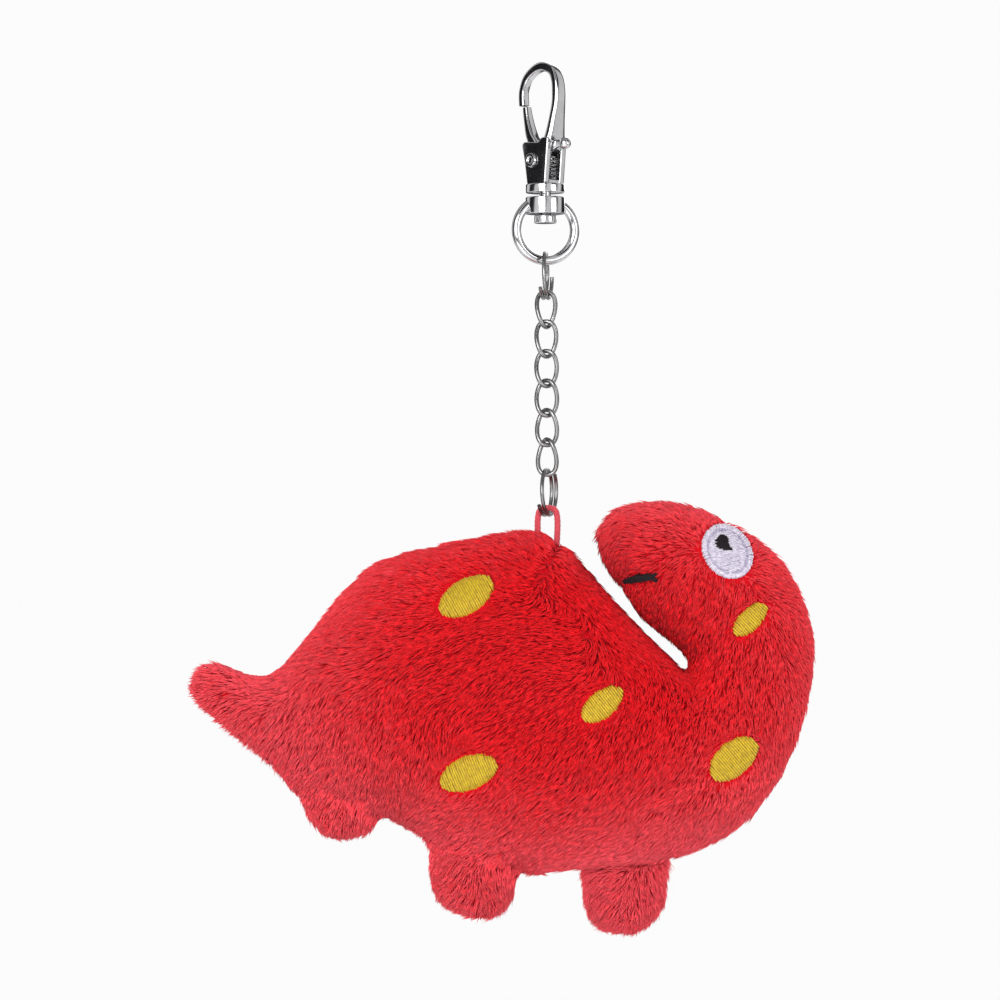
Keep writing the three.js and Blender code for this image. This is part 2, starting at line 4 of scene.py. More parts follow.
import bpy
import numpy as np
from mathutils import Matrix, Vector

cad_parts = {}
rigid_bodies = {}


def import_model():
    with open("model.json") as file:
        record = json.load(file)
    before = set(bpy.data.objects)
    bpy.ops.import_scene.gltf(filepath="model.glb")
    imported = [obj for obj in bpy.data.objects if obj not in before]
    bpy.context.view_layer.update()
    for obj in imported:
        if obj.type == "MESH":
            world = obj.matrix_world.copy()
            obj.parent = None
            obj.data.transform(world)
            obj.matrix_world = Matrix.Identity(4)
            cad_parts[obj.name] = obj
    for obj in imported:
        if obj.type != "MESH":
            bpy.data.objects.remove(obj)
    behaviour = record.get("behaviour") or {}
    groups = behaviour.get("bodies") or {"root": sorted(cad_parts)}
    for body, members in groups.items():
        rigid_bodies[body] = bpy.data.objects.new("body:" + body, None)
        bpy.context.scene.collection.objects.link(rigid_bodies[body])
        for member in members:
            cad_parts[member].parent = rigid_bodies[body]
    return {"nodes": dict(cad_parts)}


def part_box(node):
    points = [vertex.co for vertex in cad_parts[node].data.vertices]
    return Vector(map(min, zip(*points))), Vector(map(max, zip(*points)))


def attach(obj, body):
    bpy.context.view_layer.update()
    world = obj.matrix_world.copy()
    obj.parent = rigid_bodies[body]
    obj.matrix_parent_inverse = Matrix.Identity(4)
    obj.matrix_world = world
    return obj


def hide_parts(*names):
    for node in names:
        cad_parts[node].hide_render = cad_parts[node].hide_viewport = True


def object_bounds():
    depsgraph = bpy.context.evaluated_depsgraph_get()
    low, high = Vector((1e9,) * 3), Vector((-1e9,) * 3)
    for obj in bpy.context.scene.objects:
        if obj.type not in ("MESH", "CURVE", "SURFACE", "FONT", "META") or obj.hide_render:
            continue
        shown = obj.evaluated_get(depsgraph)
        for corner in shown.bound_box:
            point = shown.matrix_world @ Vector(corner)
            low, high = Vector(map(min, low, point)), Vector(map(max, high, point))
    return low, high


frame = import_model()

cadBox = [list(corner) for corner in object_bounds()]
mm = 0.001
scene = bpy.context.scene


def boxOf(node):  # a CAD node's two corners as arrays, in metres
    return [np.array(corner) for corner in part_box(node)]


loopBox = boxOf("fabric_loop")
seamPoint = np.array([0, 0, loopBox[1][2] - 7.15 * mm])  # where the loop is sewn into the back


# the camera and its soft boxes
view = {"lens": 130, "sensor": 36, "across": 0.2, "aimX": -0.0095, "aimZ": -0.0857, "roll": 0.4}
cameraData = bpy.data.cameras.new("camera")
cameraData.lens = view["lens"]
cameraData.sensor_width = view["sensor"]
camera = bpy.data.objects.new("camera", cameraData)
scene.collection.objects.link(camera)
standOff = view["across"] * view["lens"] / view["sensor"]  # so that the picture is 200 mm across
camera.location = (view["aimX"], -standOff, view["aimZ"])
camera.rotation_euler = (math.pi / 2, math.radians(view["roll"]), 0)
camera.data.clip_start = 0.01
scene.camera = camera
scene.view_settings.view_transform = "Standard"

softBoxes = {
    "keyLight": {"place": (-0.30, -0.80, 0.10), "size": 0.5, "power": 6.0},
    "fillLight": {"place": (0.65, -0.55, -0.05), "size": 0.45, "power": 2.4},
    "lowLight": {"place": (-0.25, -0.55, -0.55), "size": 0.5, "power": 5.0},
    "backLight": {"place": (0.2, 0.7, 0.3), "size": 0.6, "power": 1.6},
    "leftRim": {"place": (-0.65, 0.25, -0.15), "size": 0.4, "power": 1.8},
    "rightRim": {"place": (0.65, 0.25, -0.15), "size": 0.4, "power": 1.8},
}
for lightName, light in softBoxes.items():
    lightData = bpy.data.lights.new(lightName, "AREA")
    lightData.size = light["size"]
    lightData.energy = light["power"]
    lamp = bpy.data.objects.new(lightName, lightData)
    lamp.location = light["place"]
    lamp.visible_glossy = "Rim" not in lightName
    aim = Vector((0, 0, -0.09)) - lamp.location
    lamp.rotation_euler = aim.to_track_quat("-Z", "Y").to_euler()
    scene.collection.objects.link(lamp)


class Wire:  # one output socket; sums on wires add Math nodes
    def __init__(self, paint, socket):
        self.paint = paint
        self.socket = socket

    def maths(self, operation, *others):
        values = dict(enumerate((self, *others)))
        return self.paint.node("ShaderNodeMath", {"operation": operation}, values)

    def __add__(self, other):
        return self.maths("ADD", other)

    def __mul__(self, other):
        return self.maths("MULTIPLY", other)

    def __sub__(self, other):
        return self.maths("SUBTRACT", other)

    def __rsub__(self, other):
        return self.paint.node("ShaderNodeMath", {"operation": "SUBTRACT"}, {0: other, 1: self})

    __radd__ = __add__
    __rmul__ = __mul__


class Paint:  # a node tree being mixed, for a material or for the world
    def __init__(self, tree):
        self.tree = tree

    def node(self, kind, settings=None, inputs=None, output=0):
        made = self.tree.nodes.new(kind)
        for key, value in (settings or {}).items():
            if key == "stops":  # a ramp's (place, colour) pairs
                ramp = made.color_ramp
                while len(ramp.elements) < len(value):
                    ramp.elements.new(0.5)
                for element, (place, colour) in zip(ramp.elements, value):
                    element.position = place
                    element.color = (*colour, 1)
            else:
                setattr(made, key, value)
        for key, value in (inputs or {}).items():
            self.join(made.inputs[key], value)
        return Wire(self, made.outputs[output])

    def join(self, target, value):
        if isinstance(value, Wire):
            self.tree.links.new(value.socket, target)
        elif hasattr(value, "__len__") and len(value) == 3 and target.type == "RGBA":
            target.default_value = (*value, 1)
        else:
            target.default_value = value

    def ramp(self, factor, *stops):
        return self.node("ShaderNodeValToRGB", {"stops": stops}, {"Fac": factor})

    def mix(self, factor, first, second, blend="MIX"):
        settings = {"data_type": "RGBA", "blend_type": blend}
        return self.node("ShaderNodeMix", settings, {0: factor, 6: first, 7: second}, 2)

    def noise(self, scale, detail=2.0, where=None, roughness=0.5):
        place = where or self.node("ShaderNodeTexCoord", output=3)  # object coordinates
        inputs = {"Vector": place, "Scale": scale, "Detail": detail, "Roughness": roughness}
        return self.node("ShaderNodeTexNoise", inputs=inputs)

    def bump(self, height, strength, distance):
        inputs = {"Height": height, "Strength": strength, "Distance": distance}
        return self.node("ShaderNodeBump", inputs=inputs)


def newMaterial(name, **fixed):  # a Principled material and its paint; fixed are plain socket values
    material = bpy.data.materials.new(name)
    material.use_nodes = True
    paint = Paint(material.node_tree)
    surface = material.node_tree.nodes["Principled BSDF"]
    for key, value in fixed.items():
        paint.join(surface.inputs[key.replace("_", " ")], value)
    return material, paint, surface.inputs


# the world is a white studio, with dark flags that only the polished metal sees
world = bpy.data.worlds.new("studio")
scene.world = world
world.use_nodes = True
sky = Paint(world.node_tree)
backdrop = world.node_tree.nodes["Background"]
direction = sky.node("ShaderNodeTexCoord", output=0)
parts = world.node_tree.nodes.new("ShaderNodeSeparateXYZ")
world.node_tree.links.new(direction.socket, parts.inputs[0])
eastward, northward, upward = (Wire(sky, parts.outputs[k]) for k in range(3))
turn = eastward.maths("ARCTAN2", northward)
flags = (turn * 5 + upward * 1.5).maths("SINE") * 0.5 + 0.5
dark, grey, white = (0.38, (0.015, 0.015, 0.017)), (0.55, (0.26, 0.26, 0.27)), (0.78, (0.90, 0.90, 0.90))
stripes = sky.ramp(flags, dark, grey, white)
isGlossy = sky.node("ShaderNodeLightPath", output="Is Glossy Ray")
isCamera = sky.node("ShaderNodeLightPath", output="Is Camera Ray")
lit = sky.mix(isGlossy, (0.80, 0.79, 0.80), stripes)
sky.join(backdrop.inputs["Color"], sky.mix(isCamera, lit, (0.97, 0.97, 0.97)))


def unit(vectors):  # each vector over its own length
    return vectors / np.maximum(np.linalg.norm(vectors, axis=-1, keepdims=True), 1e-12)


def yawed(points, yaw):  # turned about z by yaw radians
    c, s = math.cos(yaw), math.sin(yaw)
    return points @ np.array([[c, s, 0], [-s, c, 0], [0, 0, 1]])


def tilted(flat, angle):  # (x, z) pairs turned in their plane by angle radians
    c, s = math.cos(angle), math.sin(angle)
    return flat @ np.array([[c, s], [-s, c]])


def outward(points, faces):
    # six times the volume is the sum of a.(b x c) over a fan of triangles in each face
    total = 0.0
    for face in faces:
        a, b = points[face[0]], points[face[1]]
        for k in range(2, len(face)):
            total += a @ np.cross(b, points[face[k]])
            b = points[face[k]]
    return faces if total > 0 else [tuple(reversed(face)) for face in faces]


def gridSurface(grid, closedAlong=False):
    # grid is (along, around, 3), closed around; open ends are closed by a fan to their middle point
    along, around = grid.shape[:2]
    points = grid.reshape(-1, 3)
    index = np.arange(along * around).reshape(along, around)
    nextAlong = np.roll(index, -1, 0) if closedAlong else index[1:]
    here = index if closedAlong else index[:-1]
    quads = np.stack([here, np.roll(here, -1, 1), np.roll(nextAlong, -1, 1), nextAlong], -1)
    faces = [tuple(face) for face in quads.reshape(-1, 4).tolist()]
    if not closedAlong:
        for row, flip in ((index[0], True), (index[-1], False)):
            pole = len(points)
            points = np.vstack([points, points[row].mean(0)])
            pairs = zip(row.tolist(), np.roll(row, -1).tolist())
            faces += [(b, a, pole) if flip else (a, b, pole) for a, b in pairs]
    return points, outward(points, faces)


def sweep(path, up, across, through, closed=False):
    # each path point carries a section: across along path x up, through along the other square axis
    ahead = np.roll(path, -1, 0) - np.roll(path, 1, 0) if closed else np.gradient(path, axis=0)
    side = unit(np.cross(unit(ahead), up))
    out = np.cross(side, unit(ahead))
    grid = path[:, None] + side[:, None] * across[..., None] + out[:, None] * through[..., None]
    return gridSurface(grid, closed)


def circle(sides):
    return 2 * np.pi * np.arange(sides) / sides


def tube(path, radius, up, sides=16, closed=False):
    # a round wire: the section is radius x (cos, sin)
    a = circle(sides)[None]
    size = np.broadcast_to(np.asarray(radius, float).reshape(-1, 1), (len(path), 1))
    return sweep(path, up, size * np.cos(a), size * np.sin(a), closed)


def squared(value, power=0.7):  # swells a sine or cosine towards a square with round corners
    return np.sign(value) * np.abs(value) ** power


def smoothLine(stops, count):
    # a Catmull-Rom spline through the stops, any number of columns, as one array expression
    stops = np.asarray(stops, float)
    ends = np.vstack([2 * stops[0] - stops[1], stops, 2 * stops[-1] - stops[-2]])
    t = np.linspace(0, len(stops) - 1, count)
    k = np.minimum(t.astype(int), len(stops) - 2)
    f = (t - k)[:, None]
    p0, p1, p2, p3 = (ends[k + i] for i in range(4))
    return 0.5 * (
        2 * p1 + (p2 - p0) * f + (2 * p0 - 5 * p1 + 4 * p2 - p3) * f**2
        + (3 * p1 - p0 - 3 * p2 + p3) * f**3
    )


def roundedCorners(outline, radius, steps=4, closed=False):
    # every corner becomes a quadratic curve that starts and ends at most radius from it
    points = np.asarray(outline, float)
    before = np.roll(points, 1, 0) - points
    after = np.roll(points, -1, 0) - points
    cut = np.minimum(radius, 0.45 * np.minimum(*(np.linalg.norm(v, axis=1) for v in (before, after))))
    start = points + unit(before) * cut[:, None]
    end = points + unit(after) * cut[:, None]
    t = np.linspace(0, 1, steps)[None, :, None]
    curve = (1 - t) ** 2 * start[:, None] + 2 * t * (1 - t) * points[:, None] + t**2 * end[:, None]
    if closed:
        return curve.reshape(-1, 2)
    return np.vstack([points[:1], curve[1:-1].reshape(-1, 2), points[-1:]])


def turned(profile, centre, axis="z", sides=64, edge=0.2):
    # the (radius, height) profile with rounded corners, turned round the axis; all in mm
    line = roundedCorners(profile, edge)
    a = circle(sides)
    r, h = np.maximum(line[:, :1], 0.001), np.repeat(line[:, 1:], sides, 1)
    rings = np.stack([r * np.cos(a), r * np.sin(a), h], -1)
    if axis == "y":
        rings = rings[..., [0, 2, 1]]
    points, faces = gridSurface(rings)
    return points + np.asarray(centre), faces


def slab(outline, low, high, edge=0.2):
    # an (s, z) outline made a plate from low to high; its edges roll over in a quarter circle
    flat = roundedCorners(outline, 0.5, 5, True)
    tangent = unit(np.roll(flat, -1, 0) - np.roll(flat, 1, 0))
    inward = np.stack([-tangent[:, 1], tangent[:, 0]], 1)
    roll = np.linspace(0, np.pi / 2, 4)
    insets = edge * np.concatenate([1 - np.sin(roll), 1 - np.sin(roll[::-1])])
    depths = np.concatenate([low + edge * (1 - np.cos(roll)), high - edge * (1 - np.cos(roll[::-1]))])
    shape = flat[None] + inward[None] * insets[:, None, None]
    grid = np.stack([shape[..., 0], np.repeat(depths[:, None], len(flat), 1), shape[..., 1]], -1)
    points = grid.reshape(-1, 3)
    n, rows = len(flat), len(depths)
    index = np.arange(rows * n).reshape(rows, n)
    quads = np.stack([index[:-1], np.roll(index[:-1], -1, 1), np.roll(index[1:], -1, 1), index[1:]], -1)
    faces = [tuple(f) for f in quads.reshape(-1, 4).tolist()]
    faces += [tuple(index[0][::-1].tolist()), tuple(index[-1].tolist())]
    return points, outward(points, faces)


def block(low, high, edge=0.15):  # a box with rolled edges, from its (s, through, z) corners
    (a, b, c), (d, e, f) = low, high
    return slab([(a, c), (d, c), (d, f), (a, f)], b, e, edge)


def merged(*surfaces):  # one surface of several, each one's faces renumbered past those before it
    points = np.vstack([surface[0] for surface in surfaces])
    starts = np.cumsum([0] + [len(surface[0]) for surface in surfaces[:-1]])
    faces = [tuple(i + start for i in f) for (_, fs), start in zip(surfaces, starts.tolist()) for f in fs]
    return points, faces


def addPiece(name, surface, material, body, stands=(), sharp=40):
    # a surface made an object; edges sharper than so many degrees stay crisp
    points, faces = surface
    mesh = bpy.data.meshes.new(name)
    mesh.from_pydata(points.tolist(), [], faces)
    mesh.shade_smooth()
    mesh.set_sharp_from_angle(angle=math.radians(sharp))
    return placed(bpy.data.objects.new(name, mesh), material, body, stands)


def placed(piece, material, body, stands=()):  # painted, linked and put on its body
    piece.data.materials.append(material)
    scene.collection.objects.link(piece)
    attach(piece, body)
    if stands:
        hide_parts(*stands)
    return piece


def metalMaterial(name, colour, dark, rough, worn):  # soft clouds of two greys under a fine grain
    material, paint, surface = newMaterial(name, Metallic=1.0, Specular_IOR_Level=0.5)
    cloud = paint.noise(260, 3)
    grain = paint.noise(2600, 2)
    paint.join(surface["Base Color"], paint.ramp(cloud, (0.3, dark), (0.7, colour)))
    paint.join(surface["Roughness"], cloud * worn + grain * (0.5 * worn) + rough)
    paint.join(surface["Normal"], paint.bump(grain, 0.08, 0.02 * mm))
    return material


nickel = metalMaterial("polishedNickel", (0.60, 0.60, 0.61), (0.46, 0.46, 0.47), 0.07, 0.10)
steel = metalMaterial("dullSteel", (0.30, 0.30, 0.30), (0.19, 0.19, 0.19), 0.20, 0.16)

clasp = {
    "yaw": math.radians(-45), "collar": 3.9, "collarHeight": 1.8, "floor": 0.9,
    "depth": 5.6, "cavity": 2.9, "mouth": 8.2, "tipShare": 0.62, "spineTop": 4.4, "cheekTop": 3.5,
    "rise": 6.5, "pivotS": -1.0, "sideGap": 0.25, "crown": 1.85, "knob": 1.2,
}
collarBottom = boxOf("clasp_hook")[0][2] / mm
collarTop = collarBottom + clasp["collarHeight"]
pivotZ = collarBottom + clasp["rise"]
mouthLeft = -clasp["tipShare"] * clasp["mouth"]
mouthRight = mouthLeft + clasp["mouth"]
spineTop = pivotZ + clasp["spineTop"]


def inHook(surface):  # from the hook's own (s, through, z) in mm to the frame
    points, faces = surface
    return yawed(points, clasp["yaw"]) * mm, faces


def castBar(stops, count, sides=32, power=0.5):
    # a bar in the hook's plane through (s, z, width, depth) stops, with a squared-off round section
    line = smoothLine(stops, count)
    path = np.stack([line[:, 0], np.zeros(count), line[:, 1]], 1)
    a = circle(sides)[None]
    across = line[:, 2:3] / 2 * squared(np.cos(a), power)
    through = line[:, 3:4] / 2 * squared(np.sin(a), power)
    return sweep(path, np.array([0, 1.0, 0]), across, through)


def hookCasting():
    # a bar bent over the hanging point, a plate on each side of the cavity, a floor and a turned collar
    left, right = mouthLeft - 0.75, mouthRight + 0.8
    arch = castBar(
        [
            (left + 0.1, -6.5, 1.5, 2.0), (left, -5.0, 1.5, 2.0), (left + 0.15, -3.3, 1.5, 1.9),
            (left + 1.25, -1.1, 1.6, 1.9), (left + 3.5, 0.45, 1.75, 2.1),
            (0, clasp["crown"] / 2, clasp["crown"], 2.2), (right - 1.55, 0, 1.8, 2.2),
            (right - 0.35, -1.9, 1.7, 2.6), (right, -4.3, 1.6, 2.9), (right - 0.1, -6.8, 1.5, 3.1),
            (right - 0.5, -9.4, 1.5, 3.7), (right - 0.95, -12, 1.7, 4.4),
            (right - 1.35, spineTop - 0.6, 1.8, clasp["depth"] - 0.3),
        ],
        110,
    )
    cheek = [
        (-2.4, collarTop - 0.2), (2.5, collarTop - 0.2), (3.0, pivotZ), (3.45, spineTop),
        (1.6, spineTop), (0.8, pivotZ + clasp["cheekTop"]), (-3.2, pivotZ + clasp["cheekTop"] + 0.3),
        (-3.8, pivotZ + clasp["cheekTop"] - 0.3), (-3.1, pivotZ),
    ]
    outer, inner = clasp["depth"] / 2, clasp["cavity"] / 2
    plates = [slab(cheek, -outer, -inner), slab(cheek, inner, outer)]
    floor = block((-2.2, -inner - 0.3, collarTop - 0.3), (2.4, inner + 0.3, collarTop + clasp["floor"]))
    r = clasp["collar"]
    rim = [(0, collarBottom), (r, collarBottom), (r, collarTop), (0, collarTop)]
    collar = turned(rim, (0, 0, 0), edge=0.3)
    return merged(arch, *plates, floor, collar)


def rivet():  # a shank with a dimpled head at both ends, turned about the pivot's axis
    reach = clasp["depth"] / 2 + 0.65
    head = reach - 0.5
    profile = [
        (0, -reach + 0.35), (0.62, -reach + 0.25), (0.8, -reach), (1.3, -reach), (1.5, -head), (0.65, -head),
        (0.65, head), (1.5, head), (1.3, reach), (0.8, reach), (0.62, reach - 0.25), (0, reach - 0.35),
    ]
    return turned(profile, (clasp["pivotS"], 0, pivotZ), "y", 48, 0.12)


def gateAndTrigger():
    # one lever: a bar up to the hook's tip, a hub on the pivot, and a bar out to a ball
    thick = clasp["cavity"] - 2 * clasp["sideGap"]
    tip, s = mouthLeft + 0.1, clasp["pivotS"]
    gate = castBar(
        [
            (tip, -6.9, 1.2, 1.7), (tip + 0.5, -9.5, 1.4, 2.0), (tip + 1.4, -12.6, 2.0, 2.3),
            (s - 1.2, pivotZ + 2.9, 2.5, thick), (s, pivotZ, 2.6, thick),
        ],
        40,
    )
    trigger = castBar(
        [
            (s, pivotZ + 0.6, 2.2, thick), (1.4, pivotZ + 1.9, 1.9, thick),
            (3.6, pivotZ + 2.9, 1.8, thick), (4.9, pivotZ + 3.1, 1.4, 1.9),
        ],
        30,
    )
    half = thick / 2
    hub = turned([(0, -half), (2, -half), (2, half), (0, half)], (s, 0, pivotZ), "y", 48, 0.2)
    a = np.linspace(-np.pi / 2, np.pi / 2, 19)
    halfCircle = clasp["knob"] * np.stack([np.cos(a), np.sin(a)], 1)
    ball = turned(halfCircle, (5.6, 0, pivotZ + 3.1), edge=0.01, sides=36)
    return merged(gate, trigger, hub, ball)


def helix(radius, turns, rise, start=0.0, count=200):  # radius x (cos, sin), climbing evenly
    t = np.linspace(0, 1, count)
    a = start + 2 * np.pi * turns * t
    return np.stack([radius * np.cos(a), radius * np.sin(a), rise * (t - 0.5)], 1)


def returnSpring():  # a helix of wire from the cavity's floor up to the trigger
    bottom, top = collarTop + clasp["floor"] + clasp["sideGap"], pivotZ + 0.75
    path = helix(0.68, 5, top - bottom - 0.36) + (1.95, 0, (top + bottom) / 2)
    return tube(path, 0.18, np.array([0, 0, 1.0]), 10)


addPiece("hookCasting", inHook(hookCasting()), nickel, "clasp", ["clasp_hook"])
addPiece("hookRivet", inHook(rivet()), nickel, "clasp", ["lever_pivot_pin"])
addPiece("gateLever", inHook(gateAndTrigger()), nickel, "gate", ["gate_lever"])
addPiece("returnSpring", inHook(returnSpring()), steel, "clasp", ["lever_spring"])

swivel = {"stem": 1.15, "head": 2.25, "headHeight": 1.6, "boss": 3.95, "wire": 1.9, "yaw": math.radians(17)}
ringBox, stemBox = boxOf("swivel_ring"), boxOf("swivel_stem")
bossTop = ringBox[1][2] / mm
bossBottom = bossTop - 3.4


def swivelStem():  # a shank with a head below, turned about z
    low, high = stemBox[0][2] / mm, stemBox[1][2] / mm
    under = low + swivel["headHeight"]
    head, neck = swivel["head"], swivel["stem"]
    profile = [(0, low), (head, low), (head, under), (neck, under), (neck, high), (0, high)]
    return turned(profile, (0, 0, 0), edge=0.3)


def swivelRing():  # a hoop, centre + r (cos, sin), whose ends stop inside a turned boss
    outer = 14.1 / 2
    middle = outer - swivel["wire"] / 2
    centre = ringBox[0][2] / mm + outer
    reach = math.asin(min(1, (bossTop - 0.9 - centre) / middle))  # the hoop stops inside the boss
    a = np.linspace(reach, reach - (np.pi + 2 * reach), 160)
    hoop = np.stack([middle * np.cos(a), 0 * a, centre + middle * np.sin(a)], 1)
    loop = tube(hoop, swivel["wire"] / 2, np.array([0, 1.0, 0]), 28)
    r = swivel["boss"]
    boss = turned([(0, bossBottom), (r, bossBottom), (r, bossTop), (0, bossTop)], (0, 0, 0), edge=0.25)
    points, faces = merged(loop, boss)
    return yawed(points, swivel["yaw"]) * mm, faces


stemPoints, stemFaces = swivelStem()
addPiece("swivelStem", (stemPoints * mm, stemFaces), nickel, "clasp", ["swivel_stem"])
addPiece("swivelRing", swivelRing(), nickel, "swivel", ["swivel_ring"])

jumpRings = {"wire": 0.85, "shown": 0.78, "pitch": 0.95, "start": 215}  # shown: a little under the wire
rings = {
    "upper": {"outer": 9.9, "yaw": 82, "turns": 1.4},
    "lower": {"outer": 9.95, "yaw": 74, "turns": 1.54},
}
for name, ring in rings.items():
    node = f"{name}_jump_ring"
    radius, rise = (ring["outer"] - jumpRings["wire"]) / 2, jumpRings["pitch"] * ring["turns"]
    coil = helix(radius, ring["turns"], rise, math.radians(jumpRings["start"]), 150)
    points, faces = tube(coil, jumpRings["shown"] / 2, np.array([0, 0, 1.0]), 16)
    points = points[:, [0, 2, 1]] * (1, -1, 1)  # the coil's axis lies down
    points = yawed(points, math.radians(ring["yaw"])) * mm
    points = points + (0, 0, boxOf(node)[1][2] - ring["outer"] / 2 * mm)
    addPiece(f"{name}JumpRing", (points, faces), steel, f"{name}_ring", [node])

links = {"count": 6, "length": 7.95, "width": 5, "wire": 0.90, "twist": 60, "firstYaw": 30, "step": -12}


def twistedLink(yaw):
    # a long ring, x = w cos a, z = w sin a plus the straight sides' lift, turned about z by its height
    a = 2 * np.pi * np.arange(120) / 120
    w, h = (links["width"] - links["wire"]) / 2, (links["length"] - links["wire"]) / 2
    lift = np.sin(a)
    z = w * lift + (h - w) * lift * (3 - lift**2) / 2
    bend = yaw - np.radians(links["twist"]) * z / (2 * h)
    path = np.stack([w * np.cos(a) * np.cos(bend), w * np.cos(a) * np.sin(bend), z], 1)
    up = np.stack([-np.sin(bend), np.cos(bend), 0 * a], 1)
    return tube(path, links["wire"] / 2, up, 16, True)


for k in range(links["count"]):
    node = f"chain_link_{k + 1}"
    corners = boxOf(node)
    points, faces = twistedLink(math.radians(links["firstYaw"] + k * links["step"]))
    points = points * mm + (0, 0, (corners[0][2] + corners[1][2]) / 2)
    addPiece(f"chainLink{k + 1}", (points, faces), steel, f"link_{k + 1}", [node])
print("metal made")


# the stuffed cloth under the pile
stuffing = {"voxel": 1.6, "smoothing": 4, "pressure": 4.0, "frames": 20, "mostSwell": 0.8, "seamDip": 0.4}
throat = {"start": (8.8, -4.4), "end": (27.8, -25.6), "reach": 3.2}  # the open slit between back and neck
# where the stuffing pushes the outline: x, z from the seam point, the shift and its reach, in mm
pushes = [
    (9.5, -1.5, 1.7, 0.0, 5.0), (-66, -25, 0.0, 0.6, 5.0), (52, -20, 0.8, 0.0, 12.0), (-2, 1, 0.0, 1.3, 7.0),
    (-32, -56.5, 0.0, 1.1, 4.0), (-37, -60, 0.0, 0.8, 6.0),
]
simScale = 10  # cloth behaves better on an object about a metre long


def evaluated(piece):  # the mesh with its modifiers applied
    bpy.context.view_layer.update()
    return bpy.data.meshes.new_from_object(piece.evaluated_get(bpy.context.evaluated_depsgraph_get()))


def pointsOf(mesh):
    points = np.empty(len(mesh.vertices) * 3, np.float32)
    mesh.vertices.foreach_get("co", points)
    return points.reshape(-1, 3).astype(float)


def normalsOf(mesh):
    normals = np.empty(len(mesh.vertices) * 3, np.float32)
    mesh.vertex_normals.foreach_get("vector", normals)
    return normals.reshape(-1, 3).astype(float)


def quadsOf(mesh):  # the four corners of every face; a voxel remesh makes nothing but quads
    corners = np.empty(len(mesh.polygons) * 4, np.int32)
    mesh.loops.foreach_get("vertex_index", corners)
    return corners.reshape(-1, 4)


def setPoints(mesh, points):
    mesh.vertices.foreach_set("co", points.astype(np.float32).ravel())
    mesh.update()


def withModifier(mesh, kind, **settings):  # the mesh that one modifier makes of it
    scratch = bpy.data.objects.new("scratch", mesh)
    scene.collection.objects.link(scratch)
    modifier = scratch.modifiers.new(kind, kind)
    for key, value in settings.items():
        setattr(modifier, key, value)
    made = evaluated(scratch)
    bpy.data.objects.remove(scratch)
    return made


def outerIsland(mesh):
    # labels spread along edges until each island has one; only the island of the highest point stays
    edges = np.empty(len(mesh.edges) * 2, np.int32)
    mesh.edges.foreach_get("vertices", edges)
    edges = edges.reshape(-1, 2)
    label = np.arange(len(mesh.vertices))
    while True:
        least = np.minimum(label[edges[:, 0]], label[edges[:, 1]])
        after = label.copy()
        np.minimum.at(after, edges[:, 0], least)
        np.minimum.at(after, edges[:, 1], least)
        after = after[after]
        if (after == label).all():
            break
        label = after
    keep = label == label[pointsOf(mesh)[:, 2].argmax()]
    if keep.all():
        return mesh
    number = np.cumsum(keep) - 1
    corners = quadsOf(mesh)
    made = bpy.data.meshes.new("island")
    made.from_pydata(pointsOf(mesh)[keep].tolist(), [], number[corners[keep[corners[:, 0]]]].tolist())
    return made


def swollen(mesh):
    # cloth pressure fills the bag out; no point moves further than mostSwell
    rest = pointsOf(mesh) * simScale
    setPoints(mesh, rest)
    bag = bpy.data.objects.new("bag", mesh)
    scene.collection.objects.link(bag)
    cloth = bag.modifiers.new("cloth", "CLOTH")
    cloth.settings.use_pressure = True
    cloth.settings.uniform_pressure_force = stuffing["pressure"]
    cloth.settings.effector_weights.gravity = 0
    cloth.settings.quality = 4
    cloth.settings.tension_stiffness = 12
    cloth.settings.bending_stiffness = 0.4
    cloth.point_cache.frame_end = stuffing["frames"]
    for step in range(1, stuffing["frames"] + 1):
        scene.frame_set(step)
    moved = pointsOf(evaluated(bag)) - rest
    far = np.linalg.norm(moved, axis=1, keepdims=True)
    most = stuffing["mostSwell"] * mm * simScale
    setPoints(mesh, (rest + moved * np.minimum(1, most / np.maximum(far, 1e-9))) / simScale)
    bpy.data.objects.remove(bag)
    scene.frame_set(1)
    return mesh


def volumeAndArea(mesh):
    # over triangles: a sixth of a.(b x c), and half the length of (b - a) x (c - a)
    mesh.calc_loop_triangles()
    corners = np.empty(len(mesh.loop_triangles) * 3, np.int32)
    mesh.loop_triangles.foreach_get("vertices", corners)
    a, b, c = pointsOf(mesh)[corners.reshape(-1, 3)].transpose(1, 0, 2)
    volume = (a * np.cross(b, c)).sum() / 6
    return volume, np.linalg.norm(np.cross(b - a, c - a), axis=1).sum() / 2


def besideThroat(points):
    # 0 on the slit's middle line, rising to 1 a few mm away: one minus a bell curve of the distance
    flat = (points - seamPoint)[:, [0, 2]] / mm
    start, end = np.array(throat["start"]), np.array(throat["end"])
    share = ((flat - start) @ (end - start) / ((end - start) @ (end - start))).clip(0, 1)[:, None]
    gap = np.linalg.norm(flat - start - share * (end - start), axis=1)
    return 1 - np.exp(-((gap / throat["reach"]) ** 2))


def pushed(points):
    # each push shifts what lies near it, by a bell curve of the distance
    flat = (points - seamPoint)[:, [0, 2]] / mm
    shift = np.zeros_like(flat)
    for x, z, right, up, reach in pushes:
        near = np.exp(-((flat - (x, z)) ** 2).sum(1) / (2 * reach**2))
        shift += near[:, None] * (right, up)
    return points + np.stack([shift[:, 0], 0 * shift[:, 0], shift[:, 1]], 1) * mm


